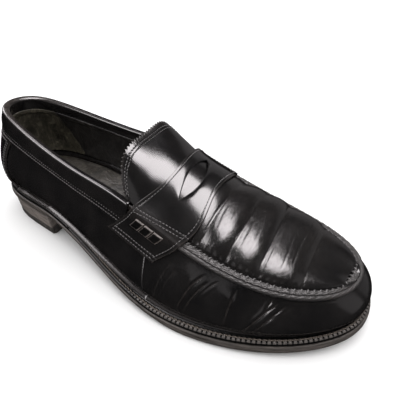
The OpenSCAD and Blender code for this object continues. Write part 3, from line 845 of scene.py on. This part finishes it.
def wall_swell(u, v):
    """Broad swells between the creases, in mm."""
    puffed = 1.3 * bump(u, 7.4, 0.24) + 0.8 * bump(u, 6.75, 0.18) + 0.9 * bump(u, 12.7, 0.3)
    return puffed * bump(v, 0.72, 0.16)


def wall_flex(u, v):
    side = from_heel(u)
    return ramp(side, 5.8, 6.6) * ramp(-side, -8.7, -8.0)


def wall_wear(u, v):
    # Lighter tint for the wall: scuffing along the creases and the top edge, and a painted highlight along
    # the polished lip at the foot.
    creases = np.clip(-wall_relief(u, v) * 0.7, 0, 0.3)
    # Painted highlight along the polished lip, added to the light the lamps give it.
    lip = 0.4 * bump(wall_rise(u, v), 1.0, 2.2 - 1.4 * ramp(from_heel(u), 4.5, 7.0))
    return lip + 0.4 * bump(v, 1.0, 0.05) + creases


LIP_OUT, LIP_TUCK = 1.2, 4.2   # how far the lip stands out, and the leather above it goes in, in mm


def foot_flare(u, v):
    """How far the foot of the wall stands out, in mm: a polished lip that turns out over the welt."""
    size = 1 - 0.62 * ramp(from_heel(u), 4.5, 7.0)
    rise = wall_rise(u, v) / size
    back = 1 - np.exp(-np.maximum(rise - 2, 0) / 3.5)
    return size * (LIP_OUT - (LIP_OUT + LIP_TUCK) * ramp(rise, -0.6, 3.4) + LIP_TUCK * back)


def flared_wall(u, v, d):
    p = off(wall, u, v, d)
    p[..., :2] += sole_out(u) * foot_flare(u, v)[..., None]
    return p


def wall_point(u, v, d):
    return flared_wall(u, v, d + wall_relief(u, v) + wall_swell(u, v))


def skived(u, v):
    """Thickness of the leather, in mm: it is pared thin where it turns out at the foot."""
    return SKIVED_T + (LEATHER_T - SKIVED_T) * ramp(wall_rise(u, v), 0.8, 4.5)


def make_wall_piece(name, node, us):
    vs = np.concatenate([np.linspace(0, 1, 16)[:-1] ** 2 * 0.12, np.linspace(0.12, 1, 62)])
    u, v = mesh_grid(us, vs)
    outer = wall_point(u, v, 0.0)
    inner = outer - unit_section_normals(flared_wall(u, v, 0.0)) * skived(u, v)[..., None]
    piece = sheet_solid(name, outer, inner, grid_quads(*u.shape), BLACK,
                        flex=wall_flex(u, v), wear=wall_wear(u, v))
    place(piece, [node])


def make_walls():
    end = SIDE_SEAM_U - 0.02
    us = np.concatenate([np.arange(0.02, 5.9, 0.03), np.arange(5.9, 9.3, 0.009), np.arange(9.3, 11.6, 0.03),
                         np.arange(11.6, 14.0, 0.012), np.arange(14.0, end, 0.03), [end]])
    make_wall_piece("vamp_and_lateral_quarter_leather", "vamp_and_lateral_quarter", us)
    make_wall_piece("medial_quarter_leather", "medial_quarter",
                    np.arange(SIDE_SEAM_U + 0.02, 19.98, 0.024))
    rows = []
    for u in (SIDE_SEAM_U + 0.12, SIDE_SEAM_U + 0.19):
        path, n = path_on(shifted_wall, u, np.linspace(0.06, 0.72, 60), 0.12)
        rows.append(row_of_stitches(path, n, 2.4))
    place_rows("side_seam_stitches", rows, 0.26, "side_seam_stitching")


# Rolls of the apron lie between creases: station in the middle, slope and bow towards the sides,
# and the height of the roll in front of the crease, in mm
APRON_CREASES = [(6.28, 0.12, 0.06, 0.9), (6.7, 0.12, 0.06, 1.3), (7.13, 0.14, 0.1, 1.8),
                 (7.56, 0.19, 0.07, 1.9), (8.25, 0.15, 0.05, 0.0)]
CREST = 0.62           # where the roll is highest, from its rear to its front crease
# Fine sharp lines: station, slope, bow, depth in mm, and the part of the width they run over
APRON_LINES = [(7.545, 0.19, 0.07, 0.42, -0.9, 0.9), (7.58, 0.2, 0.05, 0.32, -0.85, 0.6),
               (7.62, 0.18, 0.03, 0.15, -0.5, 0.3), (7.1, 0.14, 0.1, 0.16, -0.8, 0.7),
               (7.16, 0.2, 0.04, 0.1, -0.8, 0.1), (7.04, 0.1, 0.1, 0.1, -0.2, 0.8),
               (6.69, 0.12, 0.06, 0.16, -0.8, 0.6), (6.74, 0.2, 0.02, 0.1, -0.7, 0.2),
               (7.3, 0.25, 0.08, 0.07, -0.7, 0.1), (7.4, 0.1, 0.1, 0.07, -0.3, 0.6),
               (6.9, 0.2, 0.06, 0.07, -0.7, 0.3), (7.82, 0.2, 0.06, 0.1, -0.8, 0.2),
               (7.97, 0.15, 0.05, 0.16, -0.6, 0.8), (8.1, 0.1, 0.08, 0.08, -0.2, 0.7)]


def crease_at(q, at, slope, bow):
    return at - slope * q - bow * q * q


def apron_relief(u, q):
    """Height of the transverse rolls and creases, in mm."""
    relief = np.zeros(u.shape)
    for near, far in zip(APRON_CREASES, APRON_CREASES[1:]):
        start, end = crease_at(q, *near[:3]), crease_at(q, *far[:3])
        t = np.clip((u - start) / (end - start), 0, 1)
        away = np.where(t < CREST, (t - CREST) / CREST, (t - CREST) / (1 - CREST))
        relief += near[3] * (1 - away * away)
    wobble = 0.006 * np.sin(q * 7 + u * 3)
    for at, slope, bow, depth, first, last in APRON_LINES:
        run = ramp(q, first, first + 0.25) * ramp(-q, -last, -last + 0.25)
        away = (u - crease_at(q, at, slope, bow) - wobble) * SU
        relief += depth * run * (0.4 * bump(away, 1.3, 0.8) - bump(away, 0, 0.45))
    relief *= ramp(-np.abs(q), -1.0, -0.8)
    return relief + 2.2 * 4 * q * q * (1 - q * q) * ramp(u, 6.5, 7.0)


def apron_flex(u, q):
    return ramp(u, 6.4, 6.8) * ramp(-u, -8.9, -8.2)


def half_width(u):
    return np.linalg.norm(curve(TOP, u) - curve(TOP, STATIONS - u), axis=-1) / 2


def apron_point(u, q, d):
    to_side = np.maximum((1 - np.abs(q)) * half_width(u), 0.1)
    middle = (curve(TOP, u) + curve(TOP, STATIONS - u))[..., 0] / 2
    to_toe = np.maximum(curve(TOP, 10.0)[0] - middle, 0.1)
    from_seam = 1 / np.sqrt(to_side**-2 + to_toe**-2)
    along = np.interp(u, PUCKER_U, PUCKER_LENGTH) / SEAM_PITCH * 2 * math.pi
    pucker = 0.26 * np.sin(along) * bump(from_seam, 4.2, 1.8)
    pucker *= ramp(u, 6.3, 6.6) * ramp(-u, -8.7, -8.1)
    gutter = 0.8 * bump(from_seam, 3.0, 0.8)
    return off(cap, u, q, d + apron_relief(u, q) + pucker - gutter)


SEAM_PITCH = 3.9       # spacing of the hand stitches along the moccasin seam
PUCKER_U = np.linspace(5, 10, 500)
PUCKER_LENGTH = lengths(curve(TOP, PUCKER_U))


def apron_wear(u, q):
    return 0.06 * apron_flex(u, q)


def make_apron():
    us = np.concatenate([np.arange(5.4, 9.6, 0.013), np.linspace(9.61, 9.86, 22)])
    qs = np.sin(np.linspace(-1, 1, 150) * 1.42) / math.sin(1.42) * 0.955
    apron = grid_sheet("apron_leather", apron_point, us, qs, 0, -LEATHER_T, APRON_CALF,
                       flex=apron_flex, wear=apron_wear)
    place(apron, ["apron"])


def seam_frame(us):
    """Place of the seam's bead, and its outward, up and lengthwise directions."""
    t = curve(TOP, us)
    along = unit(curve(TOP, us + 0.05) - curve(TOP, us - 0.05))
    n = normal(wall, us, np.full(us.shape, 0.9))
    up = unit(np.stack([n[:, 0] * 0.5, n[:, 1] * 0.5, np.ones(len(us))], -1))
    outward = unit(np.cross(along, up))
    return t, outward, unit(np.cross(outward, along)), along


SEAM_U = (6.1, 13.9)   # stations of the seam's two ends
# Section of the bead from its inner to its outer foot: outward place and height, in mm
BEAD = [(-3.0, -0.9), (-3.1, 0.2), (-2.9, 1.1), (-2.4, 1.6), (-2.0, 1.7), (-1.7, 1.6), (-1.3, 1.8),
        (-0.9, 1.85), (-0.6, 1.72), (-0.2, 1.85), (0.1, 1.75), (0.35, 1.15), (0.6, 1.1), (0.85, 1.6),
        (1.2, 1.72), (1.5, 1.62), (1.9, 1.7), (2.3, 1.5), (2.75, 1.1), (2.9, 0.2), (2.7, -1.4)]


def make_bead():
    us = np.arange(*SEAM_U, 0.008)
    t, outward, up = seam_frame(us)[:3]
    wave = edge_wave(us)
    length = lengths(curve(TOP, us))
    rings = []
    for k, (a, h) in enumerate(BEAD):
        pinch = 0.5 * wave * ramp(-a, 0.3, 2.4) * (h > 0)
        crinkle = (0.14 * np.sin(length * 1.3 + k * 1.9) + 0.12 * np.sin(length * 2.9 + k * 2.7)
                   + 0.07 * np.sin(length * 5.3 - k * 1.1)) * (h > 0.8)
        rings.append(t + outward * (a + pinch)[:, None] + up * (h + 0.6 * pinch + crinkle)[:, None])
    points = np.stack(rings, 1)
    n, m = points.shape[:2]
    wear = np.tile([0.35 * max(0.1, min(1, h * 0.5)) for a, h in BEAD], n)
    bead = add_mesh("seam_bead", points, tube_faces(n, m), SEAM_CALF, wear=wear, flex=np.full(n * m, 0.5))
    place(bead, ["moc_seam_bead"])


def edge_wave(us):
    """Scallops between the stitches: 1 where a stitch pulls the edge in, down to -1 between."""
    return 1 - 2 * np.abs(np.sin(lengths(curve(TOP, us)) / SEAM_PITCH * math.pi))


def make_seam_stitches():
    """Slanted hand stitches that bite over the inner edge of the bead."""
    us = np.linspace(*SEAM_U, 2400)
    length = lengths(curve(TOP, us))
    count = int(length[-1] / SEAM_PITCH)
    at = np.interp(np.arange(1, count) * SEAM_PITCH, length, us)
    t, outward, up, along = seam_frame(at)
    start = t - outward * 1.5 + up * 1.75 - along * 0.7
    end = t - outward * 4.3 + up * 0.1 + along * 1.1
    thread = stitches("seam_stitches", start, end, unit(up - outward * 0.6), 0.5, THREAD, sunk=0.1)
    place(thread, ["apron_stitching"])


# ---------------------------------------------------------------- counter and collar
def cover_edge(v):
    return 1.75 + 0.45 * (2 * v - 1) ** 2


def make_counter():
    base = GAP + 0.1
    vs = np.concatenate([np.linspace(0, 1, 12)[:-1] ** 2 * 0.12, np.linspace(0.12, COVER_TOP, 46)])
    w, v = mesh_grid(np.linspace(-1, 1, 150), vs)
    u = w * cover_edge(v)
    inner = flared_wall(u, v, base)
    outer = inner + unit_section_normals(inner) * skived(u, v)[..., None]
    cover = sheet_solid("counter_cover_leather", outer, inner, grid_quads(*u.shape), BLACK,
                        wear=0.25 * bump(np.abs(w), 1, 0.02) + 0.15 * bump(v, COVER_TOP, 0.02))
    place(cover, ["counter_cover"])
    rows = []
    for side in (-1, 1):
        for inset in (0.045, 0.085):
            v = np.linspace(0.03, 0.7, 80)
            u = side * cover_edge(v) * (1 - inset)
            path, n = path_on(shifted_wall, u, v, base + skived(u, v) + 0.05)
            rows.append(row_of_stitches(path, n, 2.3))
    w = np.linspace(-0.93, 0.93, 200)
    path, n = path_on(wall, w * cover_edge(0.7), 0.705, base + LEATHER_T + 0.05)
    rows.append(row_of_stitches(path, n, 2.3))
    place_rows("counter_stitches", rows, 0.29, "counter_stitching")


COLLAR_U = 5.42
COLLAR_LOW = 0.72


def collar_profile():
    """Section of the collar, from the outside's lower edge over the top to the inside."""
    inside = -LINING_IN - LINING_T
    rows = []
    for v in np.concatenate([[COLLAR_LOW], np.linspace(COLLAR_LOW + 0.01, 1.0, 14)]):
        puff = 1.0 * bump(v, 0.9, 0.09) - 0.35 * bump(v, COLLAR_LOW + 0.035, 0.018)
        rows.append((v, GAP + LEATHER_T + puff, 0.0))
    for angle in np.radians(np.linspace(15, 165, 9)):
        middle = (LEATHER_T + GAP + inside) / 2
        half = (LEATHER_T + GAP - inside) / 2
        rows.append((1.0, middle + half * math.cos(angle) * 1.12, 1.9 * math.sin(angle)))
    for v in np.linspace(1.0, 0.84, 8):
        rows.append((v, inside - 0.15 - 0.3 * bump(v, 0.95, 0.04), 0.0))
    return rows


def make_collar():
    us = np.arange(-COLLAR_U, COLLAR_U, 0.03)
    v, d, rise = np.array(collar_profile()).T
    uu, vv = mesh_grid(us, v)
    outer = off(wall, uu, vv, np.broadcast_to(d, uu.shape))
    outer[..., 2] += rise
    inner = outer - unit_section_normals(outer) * 1.2
    wear = np.clip(rise / 1.9, 0, 1) * 0.6 * ramp(-np.abs(uu), -4, -1)
    collar = sheet_solid("collar_facing_leather", outer, inner, grid_quads(*uu.shape), COLLAR_CALF,
                         0.8, wear=wear)
    place(collar, ["collar_facing"])
    rows = []
    for v in (COLLAR_LOW + 0.03, COLLAR_LOW + 0.075):
        path, n = path_on(wall, np.linspace(-COLLAR_U, COLLAR_U, 500), v, GAP + LEATHER_T - 0.1)
        rows.append(row_of_stitches(path, n, 2.4))
    place_rows("collar_stitches", rows, 0.31, "collar_stitching")


def unit_section_normals(points):
    """Outward normals of a grid of points, from its own shape."""
    du = np.gradient(points, axis=0)
    dv = np.gradient(points, axis=1)
    return unit(np.cross(du, dv))


def lining_relief(u, v):
    """Slack waves and small creases of the lining, in mm."""
    slack = 0.45 * np.sin(u * 4.1 + 3 * v) * np.sin(v * 8 + u) + 0.18 * np.sin(u * 11 + v * 17)
    return slack * ramp(v, 0.1, 0.3) * ramp(-v, -0.8, -0.7)


LINING_TOP = 0.868


def lining_point(u, v, d):
    """The lining's upper edge laps over the collar facing."""
    return off(wall, u, v, d - LINING_IN + lining_relief(u, v) - 1.25 * ramp(v, 0.79, 0.83))


def grip_edge(v):
    """Front edge of the heel grip: it slants forwards from the collar to the sock lining."""
    return 2.5 - 1.1 * v


def grip_point(w, v, d):
    return lining_point(w * grip_edge(v), v, d)


def grip_wear(w, v):
    return 0.9 * bump(v, LINING_TOP, 0.006) + 0.8 * bump(np.abs(w), 1, 0.006)


def lateral_point(w, v, d):
    """The quarter lining from the heel grip, where w is 0, to the strap."""
    start = grip_edge(v) + 0.03
    return lining_point(start + w * (LINING_END_U - start), v, d)


def medial_point(w, v, d):
    start = grip_edge(v) + 0.03
    return lining_point(-start - w * (LINING_END_U - start), v, d)


def lining_wear(w, v):
    return 0.9 * bump(v, LINING_TOP, 0.006)


def front_lining_point(u, s, d):
    return off(across, u, s, -LINING_IN + d)


def make_linings():
    vs = np.concatenate([np.linspace(0.12, 0.76, 36), np.linspace(0.77, LINING_TOP, 14)])
    grip = grid_sheet("heel_grip_lining", grip_point, np.linspace(-1, 1, 120), vs, 0, -LINING_T, OLIVE,
                      wear=grip_wear)
    place(grip, ["heel_grip"])
    ws = np.linspace(0, 1, 60)
    for name, point, along in (("medial_quarter_lining", medial_point, ws[::-1]),
                               ("lateral_quarter_lining", lateral_point, ws)):
        lining = grid_sheet(name, point, along, vs, 0, -LINING_T, DARK_LINING, wear=lining_wear)
        place(lining, ["quarter_lining"])
    side = np.linspace(1.04, 1.92, 26)
    ss = np.concatenate([-side[::-1], np.linspace(-0.94, 0.94, 40), side])
    front = grid_sheet("vamp_lining_leather", front_lining_point, np.arange(5.66, 9.5, 0.06), ss,
                       0, -LINING_T, DARK_LINING)
    place(front, ["vamp_lining"])


def make_sock():
    """Sock lining: it dips where the foot has pressed it."""
    profile = [(16, -0.1), (11.5, 0.05), (10.3, -0.2), (10.0, -0.6), (10.4, -1.0), (16, -1.1)]
    loops = [sole_loop(inset, CAVITY_FLOOR + h, 400) for inset, h in profile]
    place(loops_solid("sock_lining_leather", loops, SOCK, 24), ["sock_lining"])


# ---------------------------------------------------------------- strap
STRAP_END = 1.385
# Stations of the strap's rear and front edges at each place across the shoe, from lateral to medial
STRAP_REAR = np.polyfit([-1.38, -1.2, -1, -.8, -.6, -.4, -.1, .36, .7, 1, 1.2, 1.38],
                        [5.1, 5.31, 5.53, 5.7, 5.79, 5.83, 5.82, 5.69, 5.58, 5.46, 5.28, 5.1], 5)
STRAP_FRONT = np.polyfit([-1.38, -1.16, -1, -.8, -.6, -.35, -.05, .25, .5, .75, 1, 1.2, 1.38],
                         [6.1, 6.38, 6.53, 6.62, 6.65, 6.59, 6.49, 6.5, 6.43, 6.36, 6.25, 6.12, 5.98], 7)
STRAP_BASE = 0.35 + LINING_T + GAP


def strap_u(s, t):
    rear, front = np.polyval(STRAP_REAR, s), np.polyval(STRAP_FRONT, s)
    return rear * (1 - t) + front * t


def strap_lift(s):
    """How far the strap stands off where it crosses the seam."""
    return 0.8 * bump(np.abs(s), 1, 0.12)


def strap_point(s, t, d):
    u = strap_u(s, t)
    edge = np.minimum(t, 1 - t)
    groove = -0.08 * bump(edge, 0.06, 0.011)
    for row in SEAM_ROWS:
        groove = groove - 0.16 * bump(np.abs(s), row - 0.08 * t, 0.009)
    end = sum(-0.16 * bump(np.abs(s), row, 0.009) for row in END_ROWS)
    inside = ramp(s, SLOT_FROM, SLOT_FROM + 0.2) * ramp(-s, -SLOT_TO, -SLOT_TO + 0.2)
    past = t - slot_front(s)
    before = slot_rear(s) - t
    curl = np.where(past > -0.01, 1.1 * np.exp(-np.maximum(past, 0) / 0.05), 0)
    dip = np.where(before > -0.01, 0.5 * np.exp(-np.maximum(before, 0) / 0.05), 0)
    end = end + inside * (curl - dip) * (d > -GAP / 2)
    return off(smooth_across, u, s, STRAP_BASE + strap_lift(s) + d + groove + end)


def smooth_across(u, s):
    """The upper across the shoe with its corner at the seam rounded off."""
    spread = 0.07
    return sum(w * across(u, s + k * spread) for k, w in ((-1, 0.25), (0, 0.5), (1, 0.25)))


SLOT_FROM, SLOT_TO, SLOT_CUSP = -0.585, 0.465, -0.02
SEAM_ROWS = (0.965, 1.005)     # stitch rows where the strap's end panel begins, across the shoe
END_ROWS = (1.355, 1.31)       # stitch rows at the strap's end


def slot_tip(s):
    return np.interp(s, (SLOT_FROM, SLOT_TO), (0.44, 0.37))


def slot_rear(s):
    a = np.clip((s - SLOT_FROM) / (SLOT_TO - SLOT_FROM) * 2 - 1, -1, 1)
    return slot_tip(s) - 0.155 * (1 - a * a)


def slot_front(s):
    """Two bowed stretches that meet in a point."""
    lateral = np.clip((s - SLOT_FROM) / (SLOT_CUSP - SLOT_FROM), 0, 1)
    medial = np.clip((SLOT_TO - s) / (SLOT_TO - SLOT_CUSP), 0, 1)
    part = np.where(s < SLOT_CUSP, lateral, medial)
    bow = np.where(s < SLOT_CUSP, 0.3, 0.16)
    return slot_tip(s) + 0.225 * part + bow * part * (1 - part)


def make_strap():
    s_line = np.concatenate([np.linspace(-STRAP_END, SLOT_FROM, 91)[:-1],
                             np.linspace(SLOT_FROM, SLOT_TO, 131), np.linspace(SLOT_TO, STRAP_END, 91)[1:]])
    edge_t = [0, 0.008, 0.02, 0.035, 0.055, 0.075, 0.095, 0.11, 0.125, 0.14, 0.155, 0.17, 0.19, 0.215]
    rear_t = np.concatenate([edge_t, np.linspace(0.25, 0.97, 20), [0.985, 1]])
    front_t = 1 - rear_t[::-1]
    s1, f1 = mesh_grid(s_line, rear_t)
    s2, f2 = mesh_grid(s_line, front_t)
    t1 = f1 * slot_rear(s1)
    t2 = slot_front(s2) + f2 * (1 - slot_front(s2))
    s = np.concatenate([s1.ravel(), s2.ravel()])
    t = np.concatenate([t1.ravel(), t2.ravel()])
    n, m1, m2 = len(s_line), len(rear_t), len(front_t)
    # rows of the strap run in t, so the grid's outward side needs its faces turned
    rear_quads = grid_quads(n, m1)[:, ::-1]
    front_quads = grid_quads(n, m2, start=n * m1)[:, ::-1]
    weld = np.arange(n * (m1 + m2))
    closed = np.flatnonzero((s_line <= SLOT_FROM) | (s_line >= SLOT_TO))
    weld[n * m1 + closed * m2] = closed * m1 + m1 - 1
    quads = weld[np.concatenate([rear_quads, front_quads])]
    used, quads = np.unique(quads, return_inverse=True)
    quads = quads.reshape(-1, 4)
    s, t = s[used], t[used]
    edge = np.minimum(np.minimum(t, 1 - t), (STRAP_END - np.abs(s)) * 1.5)
    wear = 0.35 * bump(edge, 0, 0.012) + 0.15 * bump(np.abs(s), 1.0, 0.08)
    strap = sheet_solid("strap_leather", strap_point(s, t, LEATHER_T), strap_point(s, t, 0), quads,
                        BLACK, 0.35, wear=wear)
    place(strap, ["strap"])


def make_strap_lining():
    half = STRAP_END - 0.02
    s, t = mesh_grid(np.linspace(-half, half, 140), np.linspace(0.03, 0.97, 30))
    backing = sheet_solid("strap_lining_leather", strap_point(s, t, -GAP),
                          strap_point(s, t, -GAP - LINING_T), grid_quads(*s.shape)[:, ::-1], BLACK)
    place(backing, ["strap_lining"])


def strap_row(s, t, pitch=2.3):
    s, t = np.broadcast_arrays(np.asarray(s, float), np.asarray(t, float))
    d = strap_point(s, t, LEATHER_T + 0.02)
    n = normal(smooth_across, strap_u(s, t), s)
    return row_of_stitches(d, n, pitch)


def make_strap_stitches():
    whole = np.linspace(-STRAP_END + 0.05, STRAP_END - 0.05, 500)
    rows = [strap_row(whole, 0.06), strap_row(whole, 0.94)]
    for side in (-1, 1):
        t = np.linspace(0.06, 0.94, 160)
        for s in SEAM_ROWS:
            rows.append(strap_row(side * (s - 0.08 * t), t))
        for s in END_ROWS:
            rows.append(strap_row(side * s, t))
    place_rows("strap_stitches", rows, 0.3, "strap_stitching")


def make_lace(side, name, node):
    """Three raised squares of a flat strip that is woven through slits near the strap's end."""
    points, faces, wear = [], [], []
    grid = np.linspace(-1, 1, 17)
    a, b = mesh_grid(grid, grid)
    for k in range(3):
        s = side * (1.11 + b * 0.068)
        t = 0.285 + 0.19 * k + a * 0.088
        round_off = np.maximum(np.abs(a), np.abs(b))
        pillow = 0.8 * np.sqrt(np.clip(1 - round_off**8, 0, 1))
        top = strap_point(s, t, LEATHER_T + 0.15 + pillow)
        low = strap_point(s, t, LEATHER_T - 0.3)
        quads = grid_quads(*a.shape)
        quads = quads[:, ::-1] if side < 0 else quads
        made = sheet_points(top, low, quads)
        start = sum(len(p) for p in points)
        points.append(made[0])
        faces += [[i + start for i in f] for f in made[1]]
        # Painted highlight: each square's edge band and rim are tinted lighter, as where the edges catch
        # the light.
        lit_border = ramp(round_off.ravel(), 0.72, 0.9)
        edge_wear = np.concatenate([lit_border, lit_border])
        wear.append(np.concatenate([edge_wear, np.ones(len(made[0]) - 2 * round_off.size)]))
    lace = add_mesh(name, np.concatenate(points), faces, LACE_CALF, wear=np.concatenate(wear))
    place(lace, [node])


def sheet_points(outer, inner, quads):
    """Points and faces of a closed sheet with a plain rim."""
    outer, inner = outer.reshape(-1, 3), inner.reshape(-1, 3)
    count = len(outer)
    a, b = rim_edges(quads, count)
    faces = quads.tolist() + (quads[:, ::-1] + count).tolist()
    faces += np.stack([b, a, a + count, b + count], -1).tolist()
    return np.concatenate([outer, inner]), faces


# ---------------------------------------------------------------- tongue
TONGUE_HALF = 0.965
PINK_PITCH = 2.7       # spacing of the pinked teeth
TONGUE_ROWS = (0.885, 0.93)    # stitch rows, from the hinge to the free edge


def tongue_edge(s):
    return 5 - 0.09 * s + 0.38 * s**8


def tongue_tooth(s):
    """Saw-tooth of the pinked edge, in stations."""
    line = np.linspace(-TONGUE_HALF, TONGUE_HALF, 900)
    p = cap(tongue_edge(line), line)
    phase = np.interp(s, line, lengths(p)) / PINK_PITCH
    return 0.042 * (1 - np.abs(2 * (phase % 1) - 1))


def tongue_point(s, t, d):
    root = 6.05
    edge = tongue_edge(s) - tongue_tooth(s) * ramp(t, 0.9, 1.0)
    u = root + (edge - root) * t
    curl = 0.15 * ramp(t, 0.8, 1.0) ** 2
    groove = sum(0.16 * bump(t, row, 0.008) for row in TONGUE_ROWS)
    return off(cap, u, s, d + curl - groove + 0.2)


def place_on_tongue(obj, node):
    """Hides the CAD piece that this one replaces and bakes the piece's placement into its mesh."""
    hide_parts(node)
    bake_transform(obj)


def make_tongue():
    s_line = np.linspace(-TONGUE_HALF, TONGUE_HALF, int(108 / PINK_PITCH) * 8)
    t_line = np.concatenate([np.linspace(0, 0.86, 50), np.linspace(0.868, 0.95, 15),
                             np.linspace(0.96, 1, 6)])
    s, t = mesh_grid(s_line, t_line)
    tongue = sheet_solid("tongue_leather", tongue_point(s, t, 0.0), tongue_point(s, t, -LEATHER_T),
                         grid_quads(*s.shape), TONGUE_CALF, 0.35, wear=0.3 * bump(t, 1, 0.03))
    place_on_tongue(tongue, "tongue")
    half = TONGUE_HALF - 0.02
    s, t = mesh_grid(np.linspace(-half, half, 90), np.linspace(0.42, 0.97, 40))
    lining = sheet_solid("tongue_lining_leather", tongue_point(s, t, -LEATHER_T - GAP),
                         tongue_point(s, t, -LEATHER_T - GAP - LINING_T), grid_quads(*s.shape), DARK_LINING)
    place_on_tongue(lining, "tongue_lining")
    rows = []
    s = np.linspace(-TONGUE_HALF + 0.03, TONGUE_HALF - 0.03, 400)
    for t in TONGUE_ROWS:
        path = tongue_point(s, np.full(s.shape, t), 0.15)
        rows.append(row_of_stitches(path, normal(cap, tongue_edge(s) + 0.08, s), 2.2))
    thread = stitches("tongue_stitches", *joined(rows), 0.26, THREAD)
    place_on_tongue(thread, "tongue_stitching")


# ---------------------------------------------------------------- hidden CAD pieces
HIDDEN = {"heel_nails": STEEL, "shank": STEEL, "cork_filler": CORK, "insole": BOARD, "toe_puff": BOARD,
          "heel_stiffener": BOARD, "heel_foam_pad": FOAM, "collar_padding": FOAM, "topline_tape": TAPE}


def finish_hidden_pieces():
    for name, material in HIDDEN.items():
        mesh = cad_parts[name].data
        mesh.materials.clear()
        mesh.materials.append(material)


make_camera()
make_floor()
make_light()
make_outsole()
make_welt()
make_welt_stitches()
make_heel()
make_walls()
make_apron()
make_bead()
make_seam_stitches()
make_counter()
make_collar()
make_linings()
make_sock()
make_strap()
make_strap_lining()
make_strap_stitches()
make_lace(-1, "woven_strip_lateral", "strap_lace_lateral")
make_lace(1, "woven_strip_medial", "strap_lace_medial")
make_tongue()
finish_hidden_pieces()
